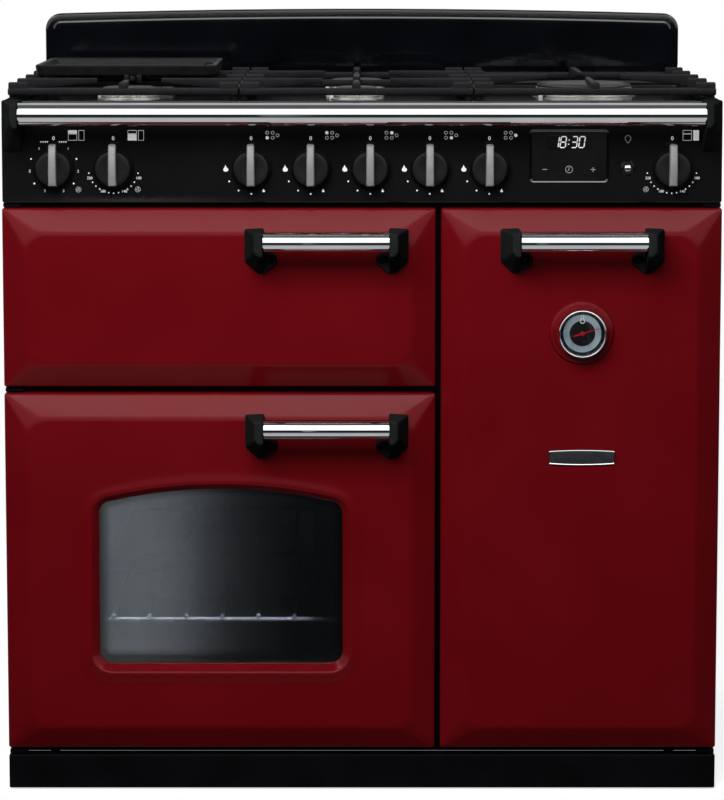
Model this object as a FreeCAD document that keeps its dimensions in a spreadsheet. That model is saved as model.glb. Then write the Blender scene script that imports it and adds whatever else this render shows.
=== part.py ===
import FreeCAD, Part
import Sketcher
import math
import os
import re

# Range cooker, 90 cm class. Millimetres; X right, Y to the rear, Z up, floor at zero.
# All driving sizes are in one sheet. Every sub-part is bound to its cells.

doc = FreeCAD.newDocument("range_cooker")
sizes = doc.addObject("Spreadsheet::Sheet", "Sizes")

driving_sizes = [
    # overall
    ("body_width", 896, "side panel to side panel, also over the doors"),
    ("hob_overhang", 2, "hob tray beyond the body, each side"),
    ("overall_depth", 663, "handle front to rear of the hob tray"),
    ("sheet", 1.5, "pressed sheet"),
    ("frame_sheet", 2, "front frame plate"),
    ("rear_setback", 21.5, "hob rear to back panel"),
    # heights
    ("base_z", 46, "underside of the base tray"),
    ("base_wall", 20, "upturned wall of the base tray"),
    ("side_low", 20, "lower edge of the side and back panels"),
    ("plinth_low", 3, "plinth clear of the floor"),
    ("plinth_setback", 2.5, "plinth behind the door edge"),
    ("plinth_flange", 56.5, "top flange, reaching under the base tray"),
    ("door_bottom", 56, "lower edge of the lower doors"),
    ("main_door_height", 454, "main oven door"),
    ("door_gap", 8, "between main oven door and grill door"),
    ("door_top", 742.5, "upper edge of the upper doors"),
    ("panel_gap", 7, "door to control panel"),
    ("frame_lap", 8, "front frame behind the control panel"),
    ("hob_under", 858, "underside of the hob tray rim"),
    ("hob_top", 876, "top of the hob tray rim"),
    # doors
    ("tall_door_width", 349.5, "right-hand door"),
    ("door_side_gap", 6.5, "between left and right doors"),
    ("door_edge", 22, "depth of the door's side wall"),
    ("door_raise", 16, "plateau in front of the edge"),
    ("door_bevel", 30, "width of the bevel"),
    ("door_corner", 3, "corner radius of the outline"),
    ("plateau_corner", 15, "corner radius of the plateau"),
    ("door_back_gap", 3, "door to front frame"),
    ("seal_width", 8, "gasket strip"),
    ("seal_clear", 0.3, "gasket to closed door"),
    # hinges
    ("pivot_inset", 8, "pivot from the door's outer edge"),
    ("pivot_back", 10.5, "pivot behind the door edge plane"),
    ("hinge_pin_r", 4, "hinge pin"),
    ("pin_fit", 0.05, "radial running clearance of pins and spindles"),
    ("pin_depth", 10, "pin engaged in the door"),
    ("hinge_plate", 4, "hinge bracket plate"),
    ("hinge_plate_width", 22, "hinge bracket plate"),
    ("hinge_boss_r", 7, "boss around the pin in the door"),
    # window
    ("window_side", 117.5, "door edge to glass, left"),
    ("window_far_side", 116.5, "door edge to glass, right"),
    ("window_low", 111, "door lower edge to glass"),
    ("window_height", 223, "to the top of the arch"),
    ("window_rise", 19, "rise of the arch"),
    ("window_corner", 16, "corner radius"),
    ("window_slope", 10, "width of the sloping surround"),
    ("window_lip", 20, "outside of the raised lip"),
    ("window_lip_raise", 4, "lip in front of the plateau"),
    ("window_sink", 8.5, "glass behind the plateau"),
    ("pane", 4, "glass thickness"),
    ("pane_lap", 12, "glass beyond its opening"),
    ("inner_window_inset", 14, "inner opening smaller than the outer"),
    # handles
    ("handle_reach", 55, "plateau to handle front"),
    ("handle_r", 12, "handle bar"),
    ("handle_length", 205, "over the brackets"),
    ("handle_drop", 37, "bar axis below the door's upper edge"),
    ("handle_edge", 33.5, "handle from the opening edge of the left doors"),
    ("bracket_width", 25, "handle bracket at the door"),
    ("bracket_strip", 7.5, "handle bracket at the front"),
    ("bracket_over", 14, "bracket above the bar axis"),
    ("bracket_shoulder", 29, "bracket's outer edge below the bar axis"),
    ("bracket_under", 44, "bracket's point below the bar axis"),
    ("bracket_point", 5, "width of the point"),
    ("bracket_front_under", 17, "front strip below the bar axis"),
    ("bracket_front_point", 3.5, "width of the front strip's lower edge"),
    ("lug_r", 9.5, "screw lug beside the bracket"),
    ("lug_out", 6.5, "lug axis from the bracket"),
    ("lug_drop", 26, "lug axis below the bar axis"),
    ("lug_depth", 9, "lug from the door"),
    ("lug_web", 12.5, "web from the lug to the bracket's point"),
    ("lug_web_drop", 33.5, "web's outer corner below the bar axis"),
    ("bar_socket", 4, "bar let into its brackets"),
    # handrail
    ("rail_r", 14, "handrail tube"),
    ("rail_z", 862, "handrail axis"),
    ("rail_reach", 48, "handrail axis in front of the panel"),
    ("rail_inset", 1.5, "end bracket inside the panel's edge"),
    ("rail_bracket", 24.5, "end bracket width"),
    ("rail_bracket_strip", 9, "end bracket at the front"),
    ("rail_bracket_low", 812, "end bracket lower edge"),
    ("rail_bracket_over", 16, "end bracket above and in front of the axis"),
    # control panel
    ("panel_proud", 1.5, "panel in front of the door edge"),
    ("panel_inset", 1, "panel narrower than the body, each side"),
    ("knob_z", 792.4, "knob axes"),
    ("knob_modules", 12.1, "knob pitches across the panel"),
    ("grill_knob_at", -5.176, "grill knob, in pitches from the middle"),
    ("main_knob_at", -4.176, "main oven knob, in pitches"),
    ("tall_knob_at", 5.207, "tall oven knob, in pitches"),
    ("gas_knob_at", -1.861, "first gas knob, in pitches"),
    ("knob_flange_r", 25, "knob flange"),
    ("knob_flange", 3, "knob flange thickness"),
    ("knob_drum_r", 21, "knob drum"),
    ("knob_drum", 8, "knob drum length"),
    ("knob_gap", 5.5, "knob to panel, room for the push"),
    ("grip_width", 10.7, "knob grip"),
    ("grip_up", 31, "grip above the axis"),
    ("grip_down", 21.6, "grip below the axis"),
    ("grip_out", 13, "grip in front of the drum"),
    ("grip_round", 3, "grip corners"),
    ("spindle_r", 3, "tap and switch spindles"),
    ("spindle_hole_r", 5, "clearance hole in the panel"),
    ("spindle_in_knob", 8, "spindle in the knob"),
    ("clock_at", 3.478, "clock centre, in pitches"),
    ("clock_z", 807.3, "clock centre"),
    ("clock_width", 98, "clock window"),
    ("clock_height", 66, "clock window"),
    ("clock_lap", 4, "clock flange behind the panel"),
    ("clock_clear", 0.3, "clock in its window"),
    ("clock_depth", 20, "clock module"),
    ("button_at", 4.464, "light button, in pitches"),
    ("button_r", 5, "light button"),
    ("button_out", 4, "light button in front of the panel"),
    ("button_back", 17, "light button behind the panel face"),
    ("button_travel", 3, "light button stroke"),
    ("button_collar_r", 8, "light button collar"),
    # gas manifold
    ("tap_width", 26, "gas tap"),
    ("tap_height", 32, "gas tap"),
    ("tap_depth", 45, "gas tap"),
    ("tap_bore", 38, "spindle bore in the tap"),
    ("spindle_in_tap", 27, "spindle in the tap"),
    ("gas_rail", 16, "square gas rail"),
    ("inlet_shift", 24, "gas inlet beside the last tap"),
    ("inlet_pipe_r", 8, "gas inlet pipe inside the body"),
    ("inlet_r", 10.48, "half-inch inlet stub behind the back panel"),
    ("inlet_hole_r", 14, "inlet hole in the back panel"),
    ("inlet_short", 2, "pipe end in front of the hob rear"),
    ("pipe_r", 3, "burner pipes"),
    ("pipe_low", 816, "lowest burner pipe"),
    ("pipe_step", 8, "between burner pipes"),
    # cavities
    ("cavity_width", 420, "main oven and grill"),
    ("tall_cavity_width", 250, "tall oven"),
    ("cavity_depth", 410, "all three"),
    ("oven_floor", 96, "both ovens"),
    ("main_oven_top", 470, "main oven"),
    ("tall_oven_top", 700, "tall oven"),
    ("grill_floor", 556, "grill"),
    ("grill_top", 706, "grill"),
    ("ledge_width", 8, "shelf ledges"),
    ("ledge", 3, "shelf ledges"),
    ("ledge_length", 340, "shelf ledges"),
    ("shelf_low", 214, "lower main oven shelf"),
    ("shelf_high", 297, "upper main oven shelf"),
    ("tall_shelf_low", 250, "lowest tall oven shelf"),
    ("tall_shelf_pitch", 140, "between tall oven shelves"),
    ("shelf_wire_r", 3, "shelf frame wire"),
    ("shelf_rod_r", 2, "shelf cross wires"),
    ("shelf_pitch", 46, "between cross wires"),
    ("shelf_side_gap", 2, "shelf to liner"),
    ("shelf_front_gap", 12, "shelf behind the frame"),
    ("shelf_depth", 330, "shelf"),
    ("pan_level", 592, "grill pan floor"),
    ("pan_depth", 30, "grill pan"),
    ("pan_rim", 8, "grill pan rim on the ledges"),
    ("pan_length", 320, "grill pan"),
    # heating and fans
    ("rod_r", 3.5, "heating rods"),
    ("rod_foot", 24, "rod mounting foot"),
    ("grill_rod_drop", 24, "grill rods under the roof"),
    ("grill_rod_pitch", 60, "between grill rods"),
    ("grill_rod_margin", 50, "rod bends from front and rear"),
    ("ring_r", 92, "ring element"),
    ("fan_space", 45, "fan cover in front of the rear wall"),
    ("cover_half", 112, "half the fan cover"),
    ("cover_slot", 8, "fan cover slots"),
    ("cover_slot_pitch", 18, "fan cover slots"),
    ("fan_r", 70, "fan"),
    ("fan_blade", 22, "fan blade depth"),
    ("fan_plate", 1.5, "fan back plate and blades"),
    ("fan_hub_r", 11, "fan hub"),
    ("fan_wall_gap", 10, "fan to rear wall"),
    ("shaft_r", 4, "motor shaft"),
    ("shaft_hole_r", 7, "shaft hole in the liner"),
    ("motor_r", 36, "fan motor"),
    ("motor_length", 60, "fan motor"),
    # hob
    ("hob_plate", 8, "hob tray top at the rim"),
    ("hob_wall", 4, "hob tray rim wall"),
    ("well_depth", 5, "spill well"),
    ("well_margin", 9, "rim beside the well"),
    ("well_rear", 205, "rear edge of the well"),
    ("well_corner", 12, "well corners"),
    ("small_burner_r", 28, "head of the small burner"),
    ("medium_burner_r", 36, "head of a medium burner"),
    ("large_burner_r", 45, "head of the large burner"),
    ("wok_burner_r", 62, "head of the wok burner"),
    ("burner_hole_r", 22, "burner hole in the tray"),
    ("burner_cup_r", 21.7, "burner cup under the tray"),
    ("burner_cup", 21, "burner cup below the well"),
    ("burner_foot", 2, "burner flange on the tray"),
    ("burner_crown", 10, "burner head above its flange"),
    ("burner_cap", 5, "burner cap"),
    ("burner_lap", 5, "flange beyond the head"),
    # pan supports
    ("support_front", -250, "front of the pan supports"),
    ("support_depth", 440, "pan supports"),
    ("support_low", 882, "underside of the bars"),
    ("support_bar", 9, "height of the bars"),
    ("support_top", 898, "top of the fingers"),
    ("bar_width", 10, "pan support bars"),
    ("nub_length", 24, "short fingers"),
    ("finger_length", 92, "long side fingers"),
    ("finger_tip", 6, "height and width of a finger tip"),
    ("wok_finger", 150, "front and rear fingers at the wok burner"),
    ("end_finger", 72, "front and rear fingers elsewhere"),
    ("support_side_gap", 1, "pan supports to the well"),
    ("support_gap", 2, "between pan supports"),
    ("left_support_share", 0.3265, "left pan support, of their whole width"),
    ("centre_support_share", 0.331, "centre pan support, of their whole width"),
    ("support_foot_inset", 8, "feet behind the corners of the frame"),
    # griddle
    ("griddle_left", 16, "griddle from the left edge of its support"),
    ("griddle_width", 235, "griddle"),
    ("griddle_y", -74.5, "front edge"),
    ("griddle_depth", 228, "griddle"),
    ("griddle_height", 14, "griddle"),
    ("griddle_corner", 12, "griddle corners"),
    ("griddle_rim", 7, "rim"),
    ("griddle_recess", 8, "recess inside the rim"),
    ("griddle_channel", 14, "drip channel"),
    ("griddle_rib", 6, "ribs"),
    ("griddle_rib_raise", 5, "ribs"),
    ("griddle_rib_pitch", 18, "ribs"),
    ("griddle_lug", 10, "lugs beside the middle finger"),
    ("griddle_lug_clear", 1, "lug to finger"),
    # upstand
    ("upstand_inset", 5, "inside the hob's edge, each side"),
    ("upstand_setback", 41.5, "front face from the hob rear"),
    ("upstand_thick", 14, "with its rolled rim"),
    ("upstand_top", 975, "top of the arch"),
    ("upstand_rise", 7, "arch"),
    ("upstand_corner", 22, "upper corners"),
    ("upstand_rim", 13, "rolled rim"),
    ("upstand_recess", 7, "face behind the rim"),
    # thermometer
    ("gauge_z", 589, "dial centre"),
    ("gauge_boss_r", 38.5, "pressed boss in the door"),
    ("gauge_boss", 9, "pressed boss"),
    ("gauge_r", 30, "case"),
    ("gauge_wall", 2.5, "case wall"),
    ("gauge_length", 12, "case"),
    ("gauge_floor", 2, "case floor"),
    ("dial_sheet", 1.5, "dial"),
    ("needle_length", 22, "needle to its tip"),
    ("needle_tail", 11.5, "needle tail"),
    ("needle_width", 2.4, "needle"),
    ("needle_sheet", 1, "needle"),
    ("needle_hub_r", 3, "needle hub"),
    ("arbor_r", 1.5, "needle arbor"),
    ("needle_angle", 17, "degrees above the right-hand side"),
    # feet
    ("foot_r", 18, "foot pad"),
    ("foot_pad", 8, "foot pad"),
    ("stem_r", 6, "foot stem"),
    ("foot_side_inset", 53, "feet from the side panels"),
    ("foot_front_inset", 38.5, "front feet behind the front frame"),
    ("foot_rear_inset", 45, "rear feet from the back panel"),
]
for row, (alias, number, note) in enumerate(driving_sizes, 1):
    sizes.set(f"A{row}", note)
    sizes.set(f"B{row}", str(number))
    sizes.setAlias(f"B{row}", alias)
doc.recompute()

alias_words = re.compile(r"\b(" + "|".join(entry[0] for entry in driving_sizes) + r")\b")
nodes = {}


# Helpers. A size is a formula in the sheet's words, such as "door_top - sheet".

def bound(formula):
    return alias_words.sub(r"Sizes.\1", str(formula))


def value(formula):
    result = sizes.evalExpression(bound(formula))
    return float(getattr(result, "Value", result))


def bind(item, **formulas):
    for name, formula in formulas.items():
        item.setExpression(name, bound(formula))
    return item


def place(item, x, y, z):
    for axis, formula in zip("xyz", (x, y, z)):
        item.setExpression("Placement.Base." + axis, bound(formula))
    return item


def turn(item, axis, degrees):
    item.Placement = FreeCAD.Placement(FreeCAD.Vector(), FreeCAD.Rotation(FreeCAD.Vector(*axis), degrees))
    return item


def box(x, y, z):
    item = doc.addObject("Part::Box", "Block")
    spans = [f"({high}) - ({low})" for low, high in (x, y, z)]
    bind(item, Length=spans[0], Width=spans[1], Height=spans[2])
    return place(item, x[0], y[0], z[0])


along = {"x": ((0, 1, 0), 90), "y": ((1, 0, 0), -90), "z": ((0, 0, 1), 0)}


def rod(axis, radius, span, across):
    # across holds the two other coordinates, in the order x, y, z
    item = turn(doc.addObject("Part::Cylinder", "Rod"), *along[axis])
    bind(item, Radius=radius, Height=f"({span[1]}) - ({span[0]})")
    spot = list(across)
    spot.insert("xyz".index(axis), span[0])
    return place(item, *spot)


def cone(axis, radius_low, radius_high, span, across):
    item = turn(doc.addObject("Part::Cone", "Cone"), *along[axis])
    bind(item, Radius1=radius_low, Radius2=radius_high, Height=f"({span[1]}) - ({span[0]})")
    spot = list(across)
    spot.insert("xyz".index(axis), span[0])
    return place(item, *spot)


def ball(radius, x, y, z):
    return place(bind(doc.addObject("Part::Sphere", "Ball"), Radius=radius), x, y, z)


def wedge(near, far, y):
    # near and far are (x low, x high, z low, z high) at the two ends of y
    item = doc.addObject("Part::Wedge", "Wedge")
    bind(item, Xmin=near[0], Xmax=near[1], Zmin=near[2], Zmax=near[3], Ymin=y[0], Ymax=y[1])
    return bind(item, X2min=far[0], X2max=far[1], Z2min=far[2], Z2max=far[3])


def fuse(*items):
    item = doc.addObject("Part::MultiFuse", "Union")
    item.Shapes = list(items)
    item.Refine = True
    return item


def cut(base, *tools):
    item = doc.addObject("Part::Cut", "Cut")
    item.Base = base
    item.Tool = tools[0] if len(tools) == 1 else fuse(*tools)
    return item


def group(*items):
    item = doc.addObject("Part::Compound", "Group")
    item.Links = list(items)
    return item


def fillet(base, radius, choose):
    base.recompute(True)
    item = doc.addObject("Part::Fillet", "Round")
    item.Base = base
    size = value(radius)
    item.Edges = [(n, size, size) for n, edge in enumerate(base.Shape.Edges, 1) if choose(edge)]
    return item


def node(name, item):
    item.Label = name
    nodes[name] = item
    return item


def line_along(edge, axis):
    a, b = edge.Vertexes[0].Point, edge.Vertexes[-1].Point
    return (b - a).Length > 1e-6 and abs((b - a).normalize()[axis]) > 0.999


# Profiles in planes across Y, as sketches: a rounded rectangle and a rounded arch.

def across_sketch(y):
    item = turn(doc.addObject("Sketcher::SketchObject", "Profile"), (1, 0, 0), 90)
    item.setExpression("Placement.Base.y", bound(y))
    return item


def add_line(sketch, x0, z0, x1, z1):
    sketch.addGeometry(Part.LineSegment(FreeCAD.Vector(x0, z0, 0), FreeCAD.Vector(x1, z1, 0)), False)


def add_arc(sketch, x, z, radius, start, end):
    circle = Part.Circle(FreeCAD.Vector(x, z, 0), FreeCAD.Vector(0, 0, 1), radius)
    sketch.addGeometry(Part.ArcOfCircle(circle, start, end), False)


def measure(sketch, name, kind, *where_and_formula):
    *where, formula = where_and_formula
    index = sketch.addConstraint(Sketcher.Constraint(kind, *where, value(formula)))
    sketch.renameConstraint(index, name)
    sketch.setExpression("Constraints." + name, bound(formula))


def relate(sketch, kind, *where):
    sketch.addConstraint(Sketcher.Constraint(kind, *where))


def rounded_rectangle(y, x, z, corner):
    sketch = across_sketch(y)
    x0, x1, z0, z1, r = (value(f) for f in (*x, *z, corner))
    add_line(sketch, x0 + r, z0, x1 - r, z0)
    add_line(sketch, x1, z0 + r, x1, z1 - r)
    add_line(sketch, x1 - r, z1, x0 + r, z1)
    add_line(sketch, x0, z1 - r, x0, z0 + r)
    centres = ((x1 - r, z0 + r), (x1 - r, z1 - r), (x0 + r, z1 - r), (x0 + r, z0 + r))
    for n, (cx, cz) in enumerate(centres):
        add_arc(sketch, cx, cz, r, (n - 1) * math.pi / 2, n * math.pi / 2)
    for n in range(4):
        relate(sketch, "Tangent", n, 2, n + 4, 1)
        relate(sketch, "Tangent", n + 4, 2, (n + 1) % 4, 1)
        relate(sketch, "Vertical" if n % 2 else "Horizontal", n)
    for n in (5, 6, 7):
        relate(sketch, "Equal", 4, n)
    measure(sketch, "corner", "Radius", 4, corner)
    measure(sketch, "right", "DistanceX", -1, 1, 1, 1, x[1])
    measure(sketch, "left", "DistanceX", -1, 1, 3, 1, x[0])
    measure(sketch, "low", "DistanceY", -1, 1, 0, 1, z[0])
    measure(sketch, "high", "DistanceY", -1, 1, 2, 1, z[1])
    return sketch


def rounded_arch(y, x, z, rise, low_corner, high_corner, grow="0"):
    # grow moves the whole outline outward by one distance
    sketch = across_sketch(y)
    half = f"(({x[1]}) - ({x[0]})) / 2"
    radius = f"(({half}) ^ 2 + ({rise}) ^ 2) / (2 * ({rise})) + ({grow})"
    middle = f"(({x[0]}) + ({x[1]})) / 2"
    centre = f"({z[1]}) + ({grow}) - ({radius})"
    left, right = f"({x[0]}) - ({grow})", f"({x[1]}) + ({grow})"
    low, low_r, high_r = f"({z[0]}) - ({grow})", f"({low_corner}) + ({grow})", f"({high_corner}) + ({grow})"
    x0, x1, z0, r0, r1 = (value(f) for f in (left, right, low, low_r, high_r))
    cx, cz, big = value(middle), value(centre), value(radius)
    corner_z = cz + math.sqrt((big - r1) ** 2 - (x1 - r1 - cx) ** 2)
    meet = math.atan2(corner_z - cz, x1 - r1 - cx)
    add_line(sketch, x0 + r0, z0, x1 - r0, z0)
    add_arc(sketch, x1 - r0, z0 + r0, r0, -math.pi / 2, 0)
    add_line(sketch, x1, z0 + r0, x1, corner_z)
    add_arc(sketch, x1 - r1, corner_z, r1, 0, meet)
    add_arc(sketch, cx, cz, big, meet, math.pi - meet)
    add_arc(sketch, x0 + r1, corner_z, r1, math.pi - meet, math.pi)
    add_line(sketch, x0, corner_z, x0, z0 + r0)
    add_arc(sketch, x0 + r0, z0 + r0, r0, math.pi, math.pi * 1.5)
    for n in range(8):
        relate(sketch, "Tangent", n, 2, (n + 1) % 8, 1)
    relate(sketch, "Horizontal", 0)
    relate(sketch, "Vertical", 2)
    relate(sketch, "Vertical", 6)
    relate(sketch, "Equal", 1, 7)
    relate(sketch, "Equal", 3, 5)
    measure(sketch, "low_corner", "Radius", 1, low_r)
    measure(sketch, "high_corner", "Radius", 3, high_r)
    measure(sketch, "arch", "Radius", 4, radius)
    measure(sketch, "middle", "DistanceX", -1, 1, 4, 3, middle)
    measure(sketch, "centre", "DistanceY", -1, 1, 4, 3, centre)
    measure(sketch, "right", "DistanceX", -1, 1, 2, 1, right)
    measure(sketch, "left", "DistanceX", -1, 1, 6, 1, left)
    measure(sketch, "low", "DistanceY", -1, 1, 0, 1, low)
    return sketch


def polygon(y, *points):
    # straight sides through (x, z) formulas
    sketch = across_sketch(y)
    spots = [(value(x), value(z)) for x, z in points]
    for n, spot in enumerate(spots):
        add_line(sketch, *spot, *spots[(n + 1) % len(spots)])
    for n, (x, z) in enumerate(points):
        relate(sketch, "Coincident", n, 2, (n + 1) % len(points), 1)
        measure(sketch, f"across_{n}", "DistanceX", -1, 1, n, 1, x)
        measure(sketch, f"up_{n}", "DistanceY", -1, 1, n, 1, z)
    return sketch


def extrude(sketch, length):
    # towards the rear
    item = doc.addObject("Part::Extrusion", "Extrusion")
    item.Base = sketch
    item.DirMode = "Custom"
    item.Dir = FreeCAD.Vector(0, 1, 0)
    item.Solid = True
    return bind(item, LengthFwd=length)


def loft(*sketches):
    item = doc.addObject("Part::Loft", "Loft")
    item.Sections = list(sketches)
    item.Solid = True
    item.Ruled = True
    return item


def inset(span, by):
    return f"({span[0]}) + ({by})", f"({span[1]}) - ({by})"


def hollow(x, y, z, wall, open_side):
    # a box of even wall, open at the end of Y or Z that open_side names
    inner = {"x": inset(x, wall), "y": inset(y, wall), "z": inset(z, wall)}
    axis, end = open_side
    low, high = inner[axis]
    inner[axis] = (f"({low}) - 2 * ({wall})", high) if end == "low" else (low, f"({high}) + 2 * ({wall})")
    return cut(box(x, y, z), box(inner["x"], inner["y"], inner["z"]))


# Planes that several pieces share

half_body = "body_width / 2"
inner_body = (f"-({half_body}) + sheet", f"({half_body}) - sheet")
y_hob_rear = "overall_depth / 2"
y_rear = "overall_depth / 2 - rear_setback"
y_plateau = "-overall_depth / 2 + handle_reach"
y_edge = f"{y_plateau} + door_raise"
y_door_back = f"{y_edge} + door_edge"
y_frame = f"{y_door_back} + door_back_gap"
y_liner = f"{y_frame} + frame_sheet"
y_cavity_rear = f"{y_liner} + cavity_depth"
y_panel = f"{y_edge} - panel_proud"
y_panel_back = f"{y_panel} + sheet"
y_bar = "-overall_depth / 2 + handle_r"
y_hinge = f"{y_edge} + pivot_back"
z_panel = "door_top + panel_gap"
z_well = "hob_top - well_depth"
z_main_top = "door_bottom + main_door_height"
z_grill_low = f"{z_main_top} + door_gap"
x_tall = f"{half_body} - tall_door_width"
left_door_x = (f"-({half_body})", f"{x_tall} - door_side_gap")
tall_door_x = (x_tall, half_body)
left_middle = f"(({left_door_x[0]}) + ({left_door_x[1]})) / 2"
tall_middle = f"(({tall_door_x[0]}) + ({tall_door_x[1]})) / 2"
knob_pitch = "(body_width - 2 * panel_inset) / knob_modules"
gas_knobs = [f"(gas_knob_at + {n}) * {knob_pitch}" for n in range(5)]
oven_knobs = {}
for name in ("grill", "main", "tall"):
    oven_knobs[name] = f"{name}_knob_at * {knob_pitch}"
clock_x = f"clock_at * {knob_pitch}"
button_x = f"button_at * {knob_pitch}"
inlet_x = f"{gas_knobs[4]} + inlet_shift"


def about(middle, half):
    return f"({middle}) - ({half})", f"({middle}) + ({half})"


left_cavity_x = about(left_middle, "cavity_width / 2")
tall_cavity_x = about(tall_middle, "tall_cavity_width / 2")
cavities = {
    "grill": (left_cavity_x, ("grill_floor", "grill_top")),
    "main": (left_cavity_x, ("oven_floor", "main_oven_top")),
    "tall": (tall_cavity_x, ("oven_floor", "tall_oven_top")),
}
fan_axes = {
    "main": (left_middle, "(oven_floor + main_oven_top) / 2"),
    "tall": (tall_middle, "(oven_floor + tall_oven_top) / 2"),
}

# Carcass

side_y = (y_frame, y_rear)
side_z = ("side_low", "hob_under")
node("side_panels", group(
    box((f"-({half_body})", inner_body[0]), side_y, side_z),
    box((inner_body[1], half_body), side_y, side_z)))

back_plate = box(inner_body, (f"{y_rear} - sheet", y_rear), side_z)
inlet_hole = rod("y", "inlet_hole_r", (f"{y_rear} - 3 * sheet", f"{y_rear} + sheet"), (inlet_x, "knob_z"))
node("back_panel", cut(back_plate, inlet_hole))

base_y = (y_liner, f"{y_rear} - sheet")
node("base_tray", hollow(inner_body, base_y, ("base_z", "base_z + base_wall"), "sheet", ("z", "high")))

feet = []
foot_x = f"{half_body} - foot_side_inset"
for x in (f"-({foot_x})", foot_x):
    for y in (f"{y_liner} + foot_front_inset", f"{y_rear} - foot_rear_inset"):
        pad = rod("z", "foot_r", ("0", "foot_pad"), (x, y))
        stem = rod("z", "stem_r", ("foot_pad / 2", "base_z"), (x, y))
        feet.append(fuse(pad, stem))
node("levelling_feet", group(*feet))

plinth_y = f"{y_edge} + plinth_setback"
plinth_x = (f"-({half_body})", half_body)
plinth_z = ("plinth_low", "base_z")
flange_z = ("base_z - sheet", "base_z")
# a folded strip: front, top and two ends in front of the side panels, and the flange between them
node("plinth", fuse(
    box(plinth_x, (plinth_y, f"{plinth_y} + sheet"), plinth_z),
    box(plinth_x, (plinth_y, y_frame), flange_z),
    box((plinth_x[0], inner_body[0]), (plinth_y, y_frame), plinth_z),
    box((inner_body[1], plinth_x[1]), (plinth_y, y_frame), plinth_z),
    box(inset(inner_body, "sheet"), (plinth_y, f"{plinth_y} + plinth_flange"), flange_z)))

# the front frame is welded from upright stiles, with rails between them
frame_z = ("base_z", f"{z_panel} + frame_lap")
frame_y = (y_frame, y_liner)
stiles = ((inner_body[0], left_cavity_x[0]), (left_cavity_x[1], tall_cavity_x[0]),
          (tall_cavity_x[1], inner_body[1]))
left_rails = ((frame_z[0], "oven_floor"), ("main_oven_top", "grill_floor"), ("grill_top", frame_z[1]))
tall_rails = ((frame_z[0], "oven_floor"), ("tall_oven_top", frame_z[1]))
frame_bars = [box(x, frame_y, frame_z) for x in stiles]
frame_bars += [box(left_cavity_x, frame_y, z) for z in left_rails]
frame_bars += [box(tall_cavity_x, frame_y, z) for z in tall_rails]
node("front_frame", group(*frame_bars))

# Oven and grill liners with their shelf ledges

shelf_levels = {
    "grill": ["pan_level + pan_depth - sheet"],
    "main": ["shelf_low - shelf_wire_r", "shelf_high - shelf_wire_r"],
    "tall": [f"tall_shelf_low + {n} * tall_shelf_pitch - shelf_wire_r" for n in range(3)],
}
rod_xs = [f"{left_middle} + ({n} - 2.5) * grill_rod_pitch" for n in range(6)]
grill_rod_z = "grill_top - grill_rod_drop"


def liner(name):
    # five welded walls, with the ledges on the side walls
    x, z = cavities[name]
    y = (y_liner, f"{y_cavity_rear} + sheet")
    wide = inset(x, "-sheet")
    walls = [box(wide, y, (f"{z[0]} - sheet", z[0])), box(wide, y, (z[1], f"{z[1]} + sheet")),
             box((wide[0], x[0]), y, z), box((x[1], wide[1]), y, z)]
    ledge_y = (f"{y_liner} + shelf_front_gap", f"{y_liner} + shelf_front_gap + ledge_length")
    for level in shelf_levels[name]:
        ledge_z = (f"{level} - ledge", level)
        walls.append(box((x[0], f"{x[0]} + ledge_width"), ledge_y, ledge_z))
        walls.append(box((f"{x[1]} - ledge_width", x[1]), ledge_y, ledge_z))
    through = (f"{y_cavity_rear} - sheet", f"{y_cavity_rear} + 2 * sheet")
    if name in fan_axes:
        fx, fz = fan_axes[name]
        holes = [rod("y", "shaft_hole_r", through, (fx, fz))]
        for side in ("-rod_foot", "rod_foot"):
            holes.append(rod("y", "rod_r + pin_fit", through, (f"{fx} + ({side}) / 2", f"{fz} + ring_r")))
    else:
        holes = [rod("y", "rod_r + pin_fit", through, (rod_xs[n], grill_rod_z)) for n in (0, 5)]
    return group(*walls, cut(box(x, (y_cavity_rear, y[1]), z), *holes))


for cavity, label in (("grill", "grill_liner"), ("main", "main_oven_liner"), ("tall", "tall_oven_liner")):
    node(label, liner(cavity))

# Wire shelves, resting on the ledges


def shelf(cavity, z, wires):
    x = inset(cavities[cavity][0], "shelf_side_gap + shelf_wire_r")
    y = (f"{y_liner} + shelf_front_gap", f"{y_liner} + shelf_front_gap + shelf_depth")
    middle = f"({x[0]} + {x[1]}) / 2"
    bars = [rod("x", "shelf_wire_r", x, (y_end, z)) for y_end in y]
    bars += [rod("y", "shelf_wire_r", y, (x_end, z)) for x_end in x]
    bars += [ball("shelf_wire_r", x_end, y_end, z) for x_end in x for y_end in y]
    for n in range(wires):
        wire_x = f"{middle} + ({n} - {(wires - 1) / 2}) * shelf_pitch"
        bars.append(rod("y", "shelf_rod_r", y, (wire_x, z)))
    return fuse(*bars)


shelves = [shelf("main", "shelf_low", 8), shelf("main", "shelf_high", 8)]
shelves += [shelf("tall", f"tall_shelf_low + {n} * tall_shelf_pitch", 5) for n in range(3)]
node("oven_shelves", group(*shelves))

pan_x = inset(left_cavity_x, "ledge_width + shelf_side_gap")
pan_y = (f"{y_liner} + shelf_front_gap", f"{y_liner} + shelf_front_gap + pan_length")
pan_z = ("pan_level", "pan_level + pan_depth")
pan_lip = box(inset(pan_x, "-pan_rim"), pan_y, (f"{pan_z[1]} - sheet", pan_z[1]))
pan_inside = box(inset(pan_x, "sheet"), inset(pan_y, "sheet"), ("pan_level + sheet", f"{pan_z[1]} + sheet"))
node("grill_pan", cut(fuse(box(pan_x, pan_y, pan_z), pan_lip), pan_inside))

# Heating rods: a serpentine under the grill roof, a ring around each fan

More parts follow.
